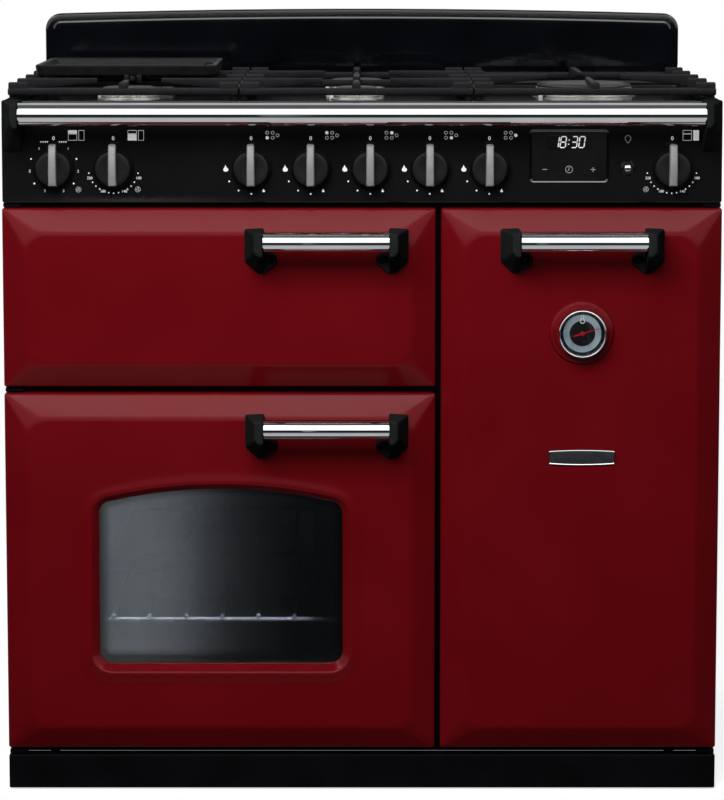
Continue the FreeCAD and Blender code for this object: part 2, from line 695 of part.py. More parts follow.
y_bend_front = f"{y_liner} + grill_rod_margin"
y_bend_rear = f"{y_cavity_rear} - grill_rod_margin"
rods = []
for n, x in enumerate(rod_xs):
    last = n in (0, 5)
    rear = f"{y_cavity_rear} + 4 * sheet" if last else y_bend_rear
    rods.append(rod("y", "rod_r", (y_bend_front, rear), (x, grill_rod_z)))
    if last:
        rods.append(box(about(x, "rod_foot / 2"), (f"{y_cavity_rear} - sheet", y_cavity_rear),
                        about(grill_rod_z, "rod_foot / 2")))
for n in range(5):
    bend = doc.addObject("Part::Torus", "Bend")
    bind(bend, Radius1="grill_rod_pitch / 2", Radius2="rod_r")
    bend.Angle3 = 180
    turn(bend, (0, 0, 1), 0 if n % 2 else 180)
    x = f"({rod_xs[n]} + {rod_xs[n + 1]}) / 2"
    rods.append(place(bend, x, y_bend_rear if n % 2 else y_bend_front, grill_rod_z))
elements = [fuse(*rods)]
y_ring = f"{y_cavity_rear} - fan_wall_gap - fan_blade / 2"
for fx, fz in fan_axes.values():
    ring = turn(doc.addObject("Part::Torus", "Ring"), (1, 0, 0), 90)
    bind(ring, Radius1="ring_r", Radius2="rod_r")
    pieces = [place(ring, fx, y_ring, fz)]
    leg_z = f"{fz} + ring_r"
    for side in ("-rod_foot / 2", "rod_foot / 2"):
        leg_y = (y_ring, f"{y_cavity_rear} + 4 * sheet")
        pieces.append(rod("y", "rod_r", leg_y, (f"{fx} + ({side})", leg_z)))
    pieces.append(rod("x", "rod_r", about(fx, "rod_foot / 2"), (y_ring, leg_z)))
    foot_y = (f"{y_cavity_rear} - sheet", y_cavity_rear)
    pieces.append(box(about(fx, "rod_foot"), foot_y, about(leg_z, "rod_foot / 4")))
    elements.append(fuse(*pieces))
node("heating_elements", group(*elements))

# Fans, their covers and motors

fan_units = []
for cavity, label in (("main", "main_oven_fan"), ("tall", "tall_oven_fan")):
    fx, fz = fan_axes[cavity]
    cover_y = (f"{y_cavity_rear} - fan_space", y_cavity_rear)
    cover = hollow(about(fx, "cover_half"), (cover_y[0], f"{cover_y[1]} + sheet"), about(fz, "cover_half"),
                   "sheet", ("y", "high"))
    trim = box(about(fx, "cover_half + sheet"), (y_cavity_rear, f"{y_cavity_rear} + 3 * sheet"),
               about(fz, "cover_half + sheet"))
    slots = []
    for n in range(7):
        slot_z = f"{fz} + ({n} - 3) * cover_slot_pitch"
        slots.append(box(about(fx, "fan_r"), (f"{cover_y[0]} - sheet", f"{cover_y[0]} + 2 * sheet"),
                         about(slot_z, "cover_slot / 2")))
    fan_units.append(cut(cut(cover, trim), *slots))
    motor_y = f"{y_cavity_rear} + sheet"
    motor = rod("y", "motor_r", (motor_y, f"{motor_y} + motor_length"), (fx, fz))
    shaft_front = f"{y_cavity_rear} - fan_wall_gap - fan_blade - sheet"
    shaft = rod("y", "shaft_r", (shaft_front, f"{motor_y} + sheet"), (fx, fz))
    fan_units.append(fuse(motor, shaft))
    fan_y = (f"{y_cavity_rear} - fan_wall_gap - fan_blade", f"{y_cavity_rear} - fan_wall_gap")
    plate = rod("y", "fan_r", (f"{fan_y[1]} - fan_plate", fan_y[1]), (fx, fz))
    hub = rod("y", "fan_hub_r", fan_y, (fx, fz))
    blades = []
    for n in range(8):
        blade = wedge(("fan_r * 0.5", "fan_r - fan_plate", "-fan_plate / 2", "fan_plate / 2"),
                      ("fan_r * 0.5", "fan_r - fan_plate", "-fan_plate / 2", "fan_plate / 2"),
                      ("0", "fan_blade - fan_plate / 2"))
        blades.append(place(turn(blade, (0, 1, 0), n * 45), fx, fan_y[0], fz))
    bore = rod("y", "shaft_r + pin_fit", (f"{fan_y[0]} - sheet", f"{fan_y[1]} + sheet"), (fx, fz))
    node(label, cut(fuse(plate, hub, *blades), bore))
node("oven_fan_units", group(*fan_units))

# Hob tray, upstand, burners

burner_rows = [f"support_front + nub_length / 2 + {n} * (support_depth - nub_length) / 4" for n in range(5)]
hob_x = about("0", f"{half_body} + hob_overhang")
well_x = inset(hob_x, "well_margin")
support_left, support_right = inset(well_x, "support_side_gap")
support_room = f"(({support_right}) - ({support_left}) - 2 * support_gap)"
left_support_end = f"{support_left} + left_support_share * {support_room}"
centre_support_end = f"{left_support_end} + support_gap + centre_support_share * {support_room}"
support_x = {
    "left": (support_left, left_support_end),
    "centre": (f"{left_support_end} + support_gap", centre_support_end),
    "right": (f"{centre_support_end} + support_gap", support_right),
}
columns = {name: f"({x[0]} + {x[1]}) / 2" for name, x in support_x.items()}
# in the order of the gas knobs: place, row, head radius, pipe level
burners = [
    ("left", 1, "medium_burner_r", 2),
    ("left", 3, "large_burner_r", 0),
    ("centre", 3, "medium_burner_r", 1),
    ("centre", 1, "small_burner_r", 3),
    ("right", 2, "wok_burner_r", 0),
]

hob_y = (y_panel, y_hob_rear)
tray = box(hob_x, hob_y, ("hob_under", "hob_top"))
under = box(inset(hob_x, "hob_wall"), inset(hob_y, "hob_wall"), ("hob_under - sheet", "hob_top - hob_plate"))
well_y = (f"{y_panel} + well_margin", "well_rear")
well = fillet(box(well_x, well_y, (z_well, "hob_top + sheet")), "well_corner", lambda e: line_along(e, 2))
burner_holes = []
for column, line, head, level in burners:
    burner_holes.append(rod("z", "burner_hole_r", (f"{z_well} - hob_plate", f"{z_well} + sheet"),
                            (columns[column], burner_rows[line])))
node("hob_tray", cut(cut(tray, under), well, *burner_holes))

upstand_x = inset(hob_x, "upstand_inset")
y_upstand = f"{y_hob_rear} - upstand_setback"
upstand_z = ("hob_top", "upstand_top")
upstand_outline = rounded_arch(y_upstand, upstand_x, upstand_z, "upstand_rise", "2 * sheet", "upstand_corner")
inside_outline = rounded_arch(f"{y_upstand} - sheet", upstand_x, upstand_z, "upstand_rise",
                              "upstand_rim + 2 * sheet", "upstand_corner", "-upstand_rim")
upstand_recess = extrude(inside_outline, "upstand_recess + sheet")
node("upstand", cut(extrude(upstand_outline, "upstand_thick"), upstand_recess))

heads, caps = [], []
for column, line, head, level in burners:
    spot = (columns[column], burner_rows[line])
    z_foot = f"{z_well} + burner_foot"
    z_crown = f"{z_foot} + burner_crown"
    cup = rod("z", "burner_cup_r", (f"{z_well} - burner_cup", z_foot), spot)
    foot = rod("z", f"{head} + burner_lap", (z_well, z_foot), spot)
    crown = cone("z", f"{head} + 1", head, (z_foot, z_crown), spot)
    heads.append(fuse(cup, foot, crown))
    cap_z = (z_crown, f"{z_crown} + burner_cap")
    caps.append(cone("z", f"{head} - 1", f"{head} - burner_cap / 2", cap_z, spot))
node("burner_heads", group(*heads))
node("burner_caps", group(*caps))

# Pan supports: a low frame with short and long fingers on it

low_bar = ("support_low", "support_low + support_bar")
support_y = ("support_front", "support_front + support_depth")
finger_half = "bar_width / 2"
tip_half = "finger_tip / 2"


def finger(x, y, heading, length):
    # heading is the turn about Z from the +Y direction
    root = (f"-({finger_half})", finger_half, "support_low", "support_top")
    tip = (f"-({tip_half})", tip_half, "support_top - finger_tip", "support_top")
    return place(turn(wedge(root, tip, ("0", length)), (0, 0, 1), heading), x, y, "0")


def pan_support(name, long_rows, end_length, middle_piece):
    x = support_x[name]
    column = columns[name]
    bars = [box(x, (support_y[0], f"{support_y[0]} + bar_width"), low_bar),
            box(x, (f"{support_y[1]} - bar_width", support_y[1]), low_bar),
            box((x[0], f"{x[0]} + bar_width"), support_y, low_bar),
            box((f"{x[1]} - bar_width", x[1]), support_y, low_bar)]
    for n, y in enumerate(burner_rows):
        if n in long_rows:
            bars.append(finger(x[0], y, -90, "bar_width + finger_length"))
            bars.append(finger(x[1], y, 90, "bar_width + finger_length"))
        else:
            nub = (f"({y}) - ({finger_half})", f"({y}) + ({finger_half})")
            bars.append(box((x[0], f"{x[0]} + nub_length"), nub, ("support_low", "support_top")))
            bars.append(box((f"{x[1]} - nub_length", x[1]), nub, ("support_low", "support_top")))
    bars.append(finger(column, support_y[0], 0, end_length))
    bars.append(finger(column, support_y[1], 180, end_length))
    if middle_piece:
        bars.append(box(x, about(burner_rows[2], finger_half), low_bar))
        bars.append(box(about(column, tip_half), about(burner_rows[2], "end_finger * 0.8"),
                        ("support_low", "support_top")))
    for x_foot in (x[0], f"{x[1]} - bar_width"):
        for y_foot in (f"{support_y[0]} + support_foot_inset",
                       f"{support_y[1]} - bar_width - support_foot_inset"):
            bars.append(box((x_foot, f"{x_foot} + bar_width"), (y_foot, f"{y_foot} + bar_width"),
                            (z_well, "support_low + support_bar")))
    return fuse(*bars)


node("pan_support_left", pan_support("left", (1, 3), "end_finger", True))
node("pan_support_centre", pan_support("centre", (1, 3), "end_finger", True))
node("pan_support_right", pan_support("right", (2,), "wok_finger", False))

griddle_x = f"{support_left} + griddle_left"
griddle_span_x = (griddle_x, f"{griddle_x} + griddle_width")
griddle_span_y = ("griddle_y", "griddle_y + griddle_depth")
griddle_z = ("support_top", "support_top + griddle_height")
slab = fillet(box(griddle_span_x, griddle_span_y, griddle_z), "griddle_corner", lambda e: line_along(e, 2))
recess_low = f"{griddle_z[1]} - griddle_recess"
recess = box(inset(griddle_span_x, "griddle_rim"), inset(griddle_span_y, "griddle_rim"),
             (recess_low, f"{griddle_z[1]} + sheet"))
plate_x = inset(griddle_span_x, "griddle_rim + griddle_channel")
plate_y = inset(griddle_span_y, "griddle_rim + griddle_channel")
ribs = []
for n in range(10):
    rib_y = f"({plate_y[0]}) + griddle_rib / 2 + {n} * griddle_rib_pitch"
    rib_z = (f"{recess_low} - sheet", f"{recess_low} + griddle_rib_raise")
    ribs.append(box(plate_x, about(rib_y, "griddle_rib / 2"), rib_z))
lug_y = ("griddle_y", "griddle_y + bar_width")
lug_z = ("support_top - griddle_lug", "support_top + sheet")
lugs = []
for low, high in (("-griddle_lug - griddle_lug_clear", f"-({tip_half}) - griddle_lug_clear"),
                  (f"{tip_half} + griddle_lug_clear", "griddle_lug + griddle_lug_clear")):
    lugs.append(box((f"{columns['left']} + ({low})", f"{columns['left']} + ({high})"), lug_y, lug_z))
node("griddle", fuse(cut(slab, recess), *ribs, *lugs))

# Control panel with its holes, and what is fixed to it

panel_x = about("0", f"{half_body} - panel_inset")
panel_z = (z_panel, "hob_under")
panel_holes = []
sheet_cut = (f"{y_panel} - sheet", f"{y_panel} + 2 * sheet")
for x in gas_knobs + list(oven_knobs.values()):
    panel_holes.append(rod("y", "spindle_hole_r", sheet_cut, (x, "knob_z")))
panel_holes.append(rod("y", "button_r + pin_fit", sheet_cut, (button_x, "knob_z")))
panel_holes.append(box(about(clock_x, "clock_width / 2 + clock_clear"), sheet_cut,
                       about("clock_z", "clock_height / 2 + clock_clear")))
panel_shell = hollow(panel_x, (y_panel, y_frame), panel_z, "sheet", ("y", "high"))
node("control_panel", cut(panel_shell, *panel_holes))

clock_face = box(about(clock_x, "clock_width / 2"), (f"{y_panel} + sheet / 2", f"{y_panel} + clock_depth"),
                 about("clock_z", "clock_height / 2"))
flange_y = (y_panel_back, f"{y_panel_back} + 2 * sheet")
clock_flange = box(about(clock_x, "clock_width / 2 + clock_lap"), flange_y,
                   about("clock_z", "clock_height / 2 + clock_lap"))
node("clock_module", fuse(clock_face, clock_flange))

y_knob_back = f"{y_panel} - knob_gap"
y_drum_back = f"{y_knob_back} - knob_flange"
y_drum_front = f"{y_drum_back} - knob_drum"
y_spindle_front = f"{y_knob_back} - spindle_in_knob"


def knob(x):
    flange = rod("y", "knob_flange_r", (y_drum_back, y_knob_back), (x, "knob_z"))
    drum = cone("y", "knob_drum_r", "knob_drum_r + 1", (y_drum_front, y_drum_back), (x, "knob_z"))
    bore_y = (f"{y_spindle_front} - pin_fit", f"{y_knob_back} + sheet")
    bore = rod("y", "spindle_r + pin_fit", bore_y, (x, "knob_z"))
    blade = box(about(x, "grip_width / 2"), (f"{y_drum_front} - grip_out", y_drum_front),
                ("knob_z - grip_down", "knob_z + grip_up"))
    front = value(f"{y_drum_front} - grip_out")
    grip = fillet(blade, "grip_round", lambda e: line_along(e, 1) or e.BoundBox.YMax < front + 0.01)
    return group(cut(fuse(flange, drum), bore), grip)


for name, x in zip(("grill_knob", "main_oven_knob", "tall_oven_knob"), oven_knobs.values()):
    node(name, knob(x))
for n, x in enumerate(gas_knobs, 1):
    node(f"gas_knob_{n}", knob(x))
    spindle_y = (y_spindle_front, f"{y_panel_back} + spindle_in_tap")
    node(f"gas_spindle_{n}", rod("y", "spindle_r", spindle_y, (x, "knob_z")))

y_tap_back = f"{y_panel_back} + tap_depth"
controls = []
for x in oven_knobs.values():
    case = box(about(x, "tap_width / 2"), (y_panel_back, y_tap_back), about("knob_z", "tap_height / 2"))
    spindle = rod("y", "spindle_r", (y_spindle_front, f"{y_panel_back} + sheet"), (x, "knob_z"))
    controls.append(fuse(case, spindle))
y_switch = f"{y_panel} + button_back + button_travel + sheet"
switch = box(about(button_x, "button_collar_r + 3 * sheet"), (y_panel_back, f"{y_switch} + tap_width / 2"),
             about("knob_z", "button_collar_r + 3 * sheet"))
room_y = (f"{y_panel_back} - sheet", y_switch)
switch_room = rod("y", "button_collar_r + sheet", room_y, (button_x, "knob_z"))
controls.append(cut(switch, switch_room))
node("oven_controls", group(*controls))

stem = rod("y", "button_r", (f"{y_panel} - button_out", f"{y_panel} + button_back"), (button_x, "knob_z"))
collar_y = (f"{y_panel_back} + sheet / 2", f"{y_panel_back} + 2 * sheet")
collar = rod("y", "button_collar_r", collar_y, (button_x, "knob_z"))
node("light_button", fuse(stem, collar))

# Gas manifold: rail with inlet, five taps, a pipe from each tap to its burner

rail_x = (f"{gas_knobs[0]} - tap_width / 2", f"{inlet_x} + gas_rail / 2")
rail_block = box(rail_x, (y_tap_back, f"{y_tap_back} + gas_rail"), about("knob_z", "gas_rail / 2"))
pipe_span = (f"{y_tap_back} + gas_rail / 2", f"{y_rear} + sheet")
inlet_pipe = rod("y", "inlet_pipe_r", pipe_span, (inlet_x, "knob_z"))
inlet_stub = rod("y", "inlet_r", (y_rear, f"{y_hob_rear} - inlet_short"), (inlet_x, "knob_z"))
manifold = [fuse(rail_block, inlet_pipe, inlet_stub)]
for n, (x, (column, line, head, level)) in enumerate(zip(gas_knobs, burners)):
    case = box(about(x, "tap_width / 2"), (y_panel_back, y_tap_back), about("knob_z", "tap_height / 2"))
    bore_y = (f"{y_panel_back} - sheet", f"{y_panel_back} + tap_bore")
    bore = rod("y", "spindle_r + pin_fit", bore_y, (x, "knob_z"))
    manifold.append(cut(case, bore))
    pipe_y = f"{y_panel_back} + 2 * pipe_r + {n} * pipe_step"
    pipe_z = f"pipe_low + {level} * pipe_step"
    to_x, to_y = columns[column], burner_rows[line]
    low_x, high_x = (x, to_x) if value(x) < value(to_x) else (to_x, x)
    runs = [rod("z", "pipe_r", ("knob_z + tap_height / 2", pipe_z), (x, pipe_y)),
            ball("pipe_r", x, pipe_y, pipe_z),
            rod("x", "pipe_r", (low_x, high_x), (pipe_y, pipe_z)),
            ball("pipe_r", to_x, pipe_y, pipe_z),
            rod("y", "pipe_r", (pipe_y, to_y), (to_x, pipe_z)),
            ball("pipe_r", to_x, to_y, pipe_z),
            rod("z", "pipe_r", (pipe_z, f"{z_well} - burner_cup"), (to_x, to_y))]
    manifold.append(fuse(*runs))
node("gas_manifold", group(*manifold))

# Handrail

y_rail = f"{y_panel} - rail_reach"
y_rail_front = f"{y_rail} - rail_bracket_over"
handrail_x = inset(panel_x, "rail_inset + rail_bracket")
node("handrail", rod("x", "rail_r", inset(handrail_x, "-bar_socket"), (y_rail, "rail_z")))
z_rail_top = "rail_z + rail_bracket_over"
ends = []
for inner, out in ((handrail_x[0], "-1"), (handrail_x[1], "1")):
    reach = [f"({inner}) + ({out}) * ({size})" for size in ("rail_bracket", "rail_bracket_strip", "bar_socket")]
    base, tip, socket = [(inner, end) if out == "1" else (end, inner) for end in reach]
    body = wedge((*tip, "rail_z - rail_bracket_over", z_rail_top), (*base, "rail_bracket_low", z_rail_top),
                 (y_rail_front, y_panel))
    ends.append(cut(body, rod("x", "rail_r + pin_fit", socket, (y_rail, "rail_z"))))
node("handrail_brackets", group(*ends))

# Doors

shelled = "sheet * 0.6"


def skin(x, z):
    # pressed front: straight edge, bevel, plateau; open at the back
    edge = rounded_rectangle(y_edge, x, z, "door_corner")
    plateau = rounded_rectangle(y_plateau, inset(x, "door_bevel"), inset(z, "door_bevel"), "plateau_corner")
    solid = fuse(extrude(edge, "door_edge"), loft(edge, plateau))
    y_inside = f"{y_edge} + {shelled}"
    inner_edge = rounded_rectangle(y_inside, inset(x, "sheet"), inset(z, "sheet"), "door_corner - sheet")
    inner_top = rounded_rectangle(f"{y_plateau} + sheet", inset(x, "door_bevel + sheet / 4"),
                                  inset(z, "door_bevel + sheet / 4"), "plateau_corner")
    room = fuse(extrude(inner_edge, "door_edge"), loft(inner_edge, inner_top))
    return cut(solid, room)


def hinged(shell, pivot_x, z):
    bosses, bores = [], []
    for low, high, bore_low, bore_high in (
            (z[0], f"{z[0]} + pin_depth + 2 * sheet", f"{z[0]} - sheet", f"{z[0]} + pin_depth + sheet / 2"),
            (f"{z[1]} - pin_depth - 2 * sheet", z[1], f"{z[1]} - pin_depth - sheet / 2", f"{z[1]} + sheet")):
        bosses.append(rod("z", "hinge_boss_r", (low, high), (pivot_x, y_hinge)))
        bores.append(rod("z", "hinge_pin_r + pin_fit", (bore_low, bore_high), (pivot_x, y_hinge)))
    return cut(fuse(shell, *bosses), *bores)


def back_plate_of(x, z):
    inside = (inset(x, "sheet"), inset(z, "sheet"))
    return extrude(rounded_rectangle(f"{y_door_back} - sheet", *inside, "door_corner - sheet"), "sheet")


def handle(name, middle, z_axis):
    span = about(middle, "handle_length / 2")
    inner = inset(span, "bracket_width")
    node(name + "_handle_bar", rod("x", "handle_r", inset(inner, "-bar_socket"), (y_bar, z_axis)))
    y_tip, y_lug = f"{y_bar} - handle_r", f"{y_plateau} - lug_depth"
    # the front strip's lower corner is cut at the slope of the base's
    slope = "(bracket_under - bracket_shoulder) / (bracket_width - bracket_point)"
    front_shoulder = f"bracket_front_under - (bracket_strip - bracket_front_point) * {slope}"
    brackets = []
    for face, out in ((inner[0], -1), (inner[1], 1)):

        def spot(outward, up):
            return f"({face}) + ({out}) * ({outward})", f"{z_axis} + ({up})"

        base = polygon(y_plateau, spot("0", "bracket_over"), spot("bracket_width", "bracket_over"),
                       spot("bracket_width", "-bracket_shoulder"), spot("bracket_point", "-bracket_under"),
                       spot("0", "-bracket_under"))
        tip = polygon(y_tip, spot("0", "bracket_over"), spot("bracket_strip", "bracket_over"),
                      spot("bracket_strip", f"-({front_shoulder})"),
                      spot("bracket_front_point", "-bracket_front_under"), spot("0", "-bracket_front_under"))
        lug = rod("y", "lug_r", (y_lug, y_plateau), spot("-lug_out", "-lug_drop"))
        web = extrude(polygon(y_lug, spot("sheet", "-bracket_under"), spot("-lug_web", "-lug_web_drop"),
                              spot("-lug_out", "-lug_drop"), spot("sheet", "-lug_drop + lug_r - sheet")), "lug_depth")
        socket_x = sorted((f"({face}) + ({out}) * bar_socket", f"({face}) - ({out}) * sheet"), key=value)
        socket = rod("x", "handle_r + pin_fit", socket_x, (y_bar, z_axis))
        brackets.append(cut(fuse(loft(tip, base), lug, web), socket))
    node(name + "_handle_brackets", group(*brackets))


left_handle = f"{left_door_x[1]} - handle_edge - handle_length / 2"
left_pivot = f"{left_door_x[0]} + pivot_inset"
right_pivot = f"{tall_door_x[1]} - pivot_inset"
grill_z = (z_grill_low, "door_top")
main_z = ("door_bottom", z_main_top)
tall_z = ("door_bottom", "door_top")

node("grill_door_skin", hinged(skin(left_door_x, grill_z), left_pivot, grill_z))
node("grill_door_inner", back_plate_of(left_door_x, grill_z))
handle("grill_door", left_handle, "door_top - handle_drop")

window_x = (f"{left_door_x[0]} + window_side", f"{left_door_x[1]} - window_far_side")
window_z = ("door_bottom + window_low", "door_bottom + window_low + window_height")


def window(y, grow):
    return rounded_arch(y, window_x, window_z, "window_rise", "window_corner", "window_corner", grow)


y_glass = f"{y_plateau} + window_sink"
surround = extrude(window(f"{y_plateau} + sheet / 2", "window_lip"), "window_sink - sheet / 2")
lip = loft(window(f"{y_plateau} + sheet / 2", "window_lip"),
           window(f"{y_plateau} - window_lip_raise", "window_slope + sheet"))
opening = loft(window(f"{y_plateau} - window_lip_raise - sheet", "window_slope"),
               window(f"{y_glass} + sheet", "0"))
main_skin = hinged(skin(left_door_x, main_z), left_pivot, main_z)
node("main_door_skin", cut(fuse(main_skin, surround, lip), opening))
inner_cut_y = (f"{y_door_back} - 2 * sheet", f"{y_door_back} + sheet")
inner_window = box(inset(window_x, "inner_window_inset"), inner_cut_y, inset(window_z, "inner_window_inset"))
node("main_door_inner", cut(back_plate_of(left_door_x, main_z), inner_window))
y_inner_pane = f"{y_door_back} - sheet - pane"
node("main_door_panes", group(
    box(inset(window_x, "-pane_lap"), (y_glass, f"{y_glass} + pane"), inset(window_z, "-pane_lap")),
    box(window_x, (y_inner_pane, f"{y_inner_pane} + pane"), window_z)))
handle("main_door", left_handle, f"{z_main_top} - handle_drop")

y_boss = f"{y_plateau} - gauge_boss"
gauge_x = tall_middle
boss = cone("y", "gauge_r + 1", "gauge_boss_r", (y_boss, f"{y_plateau} + sheet / 2"), (gauge_x, "gauge_z"))
node("tall_door_skin", fuse(hinged(skin(tall_door_x, tall_z), right_pivot, tall_z), boss))
node("tall_door_inner", back_plate_of(tall_door_x, tall_z))
handle("tall_door", tall_middle, "door_top - handle_drop")

# Thermometer on the tall door

spot = (gauge_x, "gauge_z")
y_gauge_front = f"{y_boss} - gauge_length"
y_dial = f"{y_boss} - gauge_floor"
arbor_end = f"{y_boss} - gauge_floor / 2"
case_ring = cut(rod("y", "gauge_r", (y_gauge_front, y_boss), spot),
                rod("y", "gauge_r - gauge_wall", (f"{y_gauge_front} - sheet", y_dial), spot),
                rod("y", "arbor_r + pin_fit", (f"{y_dial} - sheet", arbor_end), spot))
dial = cut(rod("y", "gauge_r - gauge_wall", (f"{y_dial} - dial_sheet", y_dial), spot),
           rod("y", "arbor_r + pin_fit", (f"{y_dial} - 2 * dial_sheet", f"{y_dial} + sheet"), spot))
node("gauge_case", group(case_ring, dial))
y_needle = f"{y_dial} - dial_sheet - 2 * needle_sheet"
blade = ("-needle_tail", "needle_length", "-needle_width / 2", "needle_width / 2")
blade_tip = ("-needle_tail", "needle_length", "-needle_width / 2", "needle_width / 2")
pointer = turn(wedge(blade, blade_tip, ("0", "needle_sheet")), (0, 1, 0), 0)
pointer.setExpression("Placement.Rotation.Angle", bound("-needle_angle"))
pointer.setExpression("Placement.Rotation.Axis.y", "1")
place(pointer, gauge_x, y_needle, "gauge_z")
needle_hub = rod("y", "needle_hub_r", (f"{y_needle} - needle_sheet", f"{y_needle} + needle_sheet"), spot)
arbor = rod("y", "arbor_r", (y_needle, f"{arbor_end} - pin_fit"), spot)
node("gauge_needle", fuse(pointer, needle_hub, arbor))

# Hinge brackets with their pins, and the door seals


def bracket(side, z_low, z_high, up, down):
    # a plate in the middle of the gap between z_low and z_high
    pivot = left_pivot if side < 0 else right_pivot
    z_middle = f"(({z_low}) + ({z_high})) / 2"
    plate_z = about(z_middle, "hinge_plate / 2")
    outer = f"{left_door_x[0]} + sheet" if side < 0 else f"{tall_door_x[1]} - sheet"
    plate_x = (outer, f"{outer} + hinge_plate_width") if side < 0 else (f"{outer} - hinge_plate_width", outer)
    pieces = [box(plate_x, (f"{y_edge} + 2 * sheet", y_frame), plate_z)]
    if up:
        pieces.append(rod("z", "hinge_pin_r", (z_middle, f"{z_high} + pin_depth"), (pivot, y_hinge)))
    if down:
        pieces.append(rod("z", "hinge_pin_r", (f"{z_low} - pin_depth", z_middle), (pivot, y_hinge)))
    return fuse(*pieces)


node("hinge_brackets", group(
    bracket(-1, "base_z", "door_bottom", True, False),
    bracket(-1, z_main_top, z_grill_low, True, True),
    bracket(-1, "door_top", z_panel, False, True),
    bracket(1, "base_z", "door_bottom", True, False),
    bracket(1, "door_top", z_panel, False, True)))

seals = []
for x, z in cavities.values():
    y = (f"{y_door_back} + seal_clear", y_frame)
    strip = box(inset(x, "-2 * seal_width"), y, inset(z, "-2 * seal_width"))
    middle = box(inset(x, "-seal_width"), (f"{y[0]} - sheet", f"{y[1]} + sheet"), inset(z, "-seal_width"))
    seals.append(cut(strip, middle))
node("door_seals", group(*seals))

# Check and write

doc.recompute()
problems = []
for item in doc.Objects:
    if "Invalid" in item.State or "Error" in item.State:
        problems.append(f"{item.Name} ({item.Label}): {item.State}")
for name, item in nodes.items():
    if item.Shape.isNull() or not item.Shape.isValid() or not item.Shape.Solids:
        problems.append(f"{name}: bad shape")
if problems:
    raise RuntimeError("; ".join(problems))
os.makedirs("parts", exist_ok=True)
for name, item in nodes.items():
    item.Shape.exportStep(f"parts/{name}.step")
print(len(nodes), "nodes,", sum(len(item.Shape.Solids) for item in nodes.values()), "solids")
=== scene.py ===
# Range cooker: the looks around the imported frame. Shapes are worked out in millimetres.
import bmesh
import bpy
import math
import numpy as np
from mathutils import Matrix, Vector


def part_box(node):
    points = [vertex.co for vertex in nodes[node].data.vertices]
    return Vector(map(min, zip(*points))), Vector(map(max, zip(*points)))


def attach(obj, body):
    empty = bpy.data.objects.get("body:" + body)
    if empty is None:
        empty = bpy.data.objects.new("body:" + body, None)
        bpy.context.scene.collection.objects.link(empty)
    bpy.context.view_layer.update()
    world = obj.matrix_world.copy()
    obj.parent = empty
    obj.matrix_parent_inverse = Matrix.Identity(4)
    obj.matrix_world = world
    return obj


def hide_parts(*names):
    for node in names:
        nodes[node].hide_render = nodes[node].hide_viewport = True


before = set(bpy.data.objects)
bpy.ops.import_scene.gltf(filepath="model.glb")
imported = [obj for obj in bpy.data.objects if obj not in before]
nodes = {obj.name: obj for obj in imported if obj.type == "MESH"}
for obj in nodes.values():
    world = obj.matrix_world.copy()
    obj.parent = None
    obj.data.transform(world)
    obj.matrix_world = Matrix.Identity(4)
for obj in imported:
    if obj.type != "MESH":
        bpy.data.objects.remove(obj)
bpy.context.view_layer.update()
link = bpy.context.scene.collection.objects.link
print("frame loaded,", len(nodes), "nodes")

# finishes


def linear(hexColour):
    # sRGB hex to linear: c / 12.92 below 0.04045, else ((c + 0.055) / 1.055) ^ 2.4
    c = np.array([int(hexColour[i:i + 2], 16) for i in (1, 3, 5)]) / 255
    return (*np.where(c <= 0.04045, c / 12.92, ((c + 0.055) / 1.055) ** 2.4), 1.0)


def add(tree, kind, *feeds, **settings):
    # one node: what its sockets get in their order, settings or sockets by name; a node gives its first output
    node = tree.nodes.new("ShaderNode" + kind)
    for key, value in [*settings.items(), *enumerate(feeds)]:
        if isinstance(value, (bpy.types.Node, bpy.types.NodeSocket)):
            tree.links.new(getattr(value, "outputs", [value])[0], node.inputs[key])
        elif key == "ramp":
            stops = node.color_ramp.elements
            while len(stops) < len(value):
                stops.new(1.0)
            for stop, (place, colour) in zip(stops, value):
                stop.position, stop.color = place, colour
        elif isinstance(key, int) or key in node.inputs:
            node.inputs[key].default_value = value
        else:
            setattr(node, key, value)
    return node


def newMaterial(name):
    material = bpy.data.materials.new(name)
    material.use_nodes = True
    tree = material.node_tree
    tree.nodes.clear()
    return material, tree, add(tree, "TexCoord").outputs["Object"]


def perMetre(sizeMm):
    # noise scale that gives features of about this size
    return 1000 / sizeMm


def clouded(tree, coord, sizeMm, dark, light, low=0.3, high=0.7, detail=2.0):
    # soft clouds, and the two shades they run between
    cloud = add(tree, "TexNoise", coord, Scale=perMetre(sizeMm), Detail=detail)
    return cloud, add(tree, "ValToRGB", cloud, ramp=((low, linear(dark)), (high, linear(light))))


def mottled(name, dark, light, cloudMm, rough, grainMm, grainDepth, metallic=0.0, shine=0.5, glow=0.0):
    # two shades in soft clouds, gloss that wanders between two values, a fine grain in the surface, and, where
    # asked, a painted glow
    material, tree, coord = newMaterial(name)
    cloud, shade = clouded(tree, coord, cloudMm, dark, light, detail=3.0)
    gloss = add(tree, "MapRange", cloud, 0.3, 0.7, *rough)
    grain = add(tree, "TexNoise", coord, Scale=perMetre(grainMm))
    bump = add(tree, "Bump", Strength=grainDepth, Distance=grainMm / 2000, Height=grain)
    surface = add(tree, "BsdfPrincipled", shade, metallic, gloss, Normal=bump,
                  **{"Specular IOR Level": shine, "Emission Strength": glow})
    add(tree, "OutputMaterial", surface)
    return material


# fired glass on pressed steel: deep even red, soft gloss, a very slight orange peel
redEnamel = mottled("red vitreous enamel", "#6c0911", "#730c15", 140, (0.20, 0.25), 5, 0.01, shine=0.12)
# the same glaze in black on the control panel, and a bluer, deeper one on hob and upstand
panelEnamel = mottled("black vitreous enamel", "#131313", "#181818", 120, (0.06, 0.10), 5, 0.02)
hobEnamel = mottled("blue-black vitreous enamel", "#040509", "#080a0f", 120, (0.06, 0.10), 5, 0.02, shine=0.45)
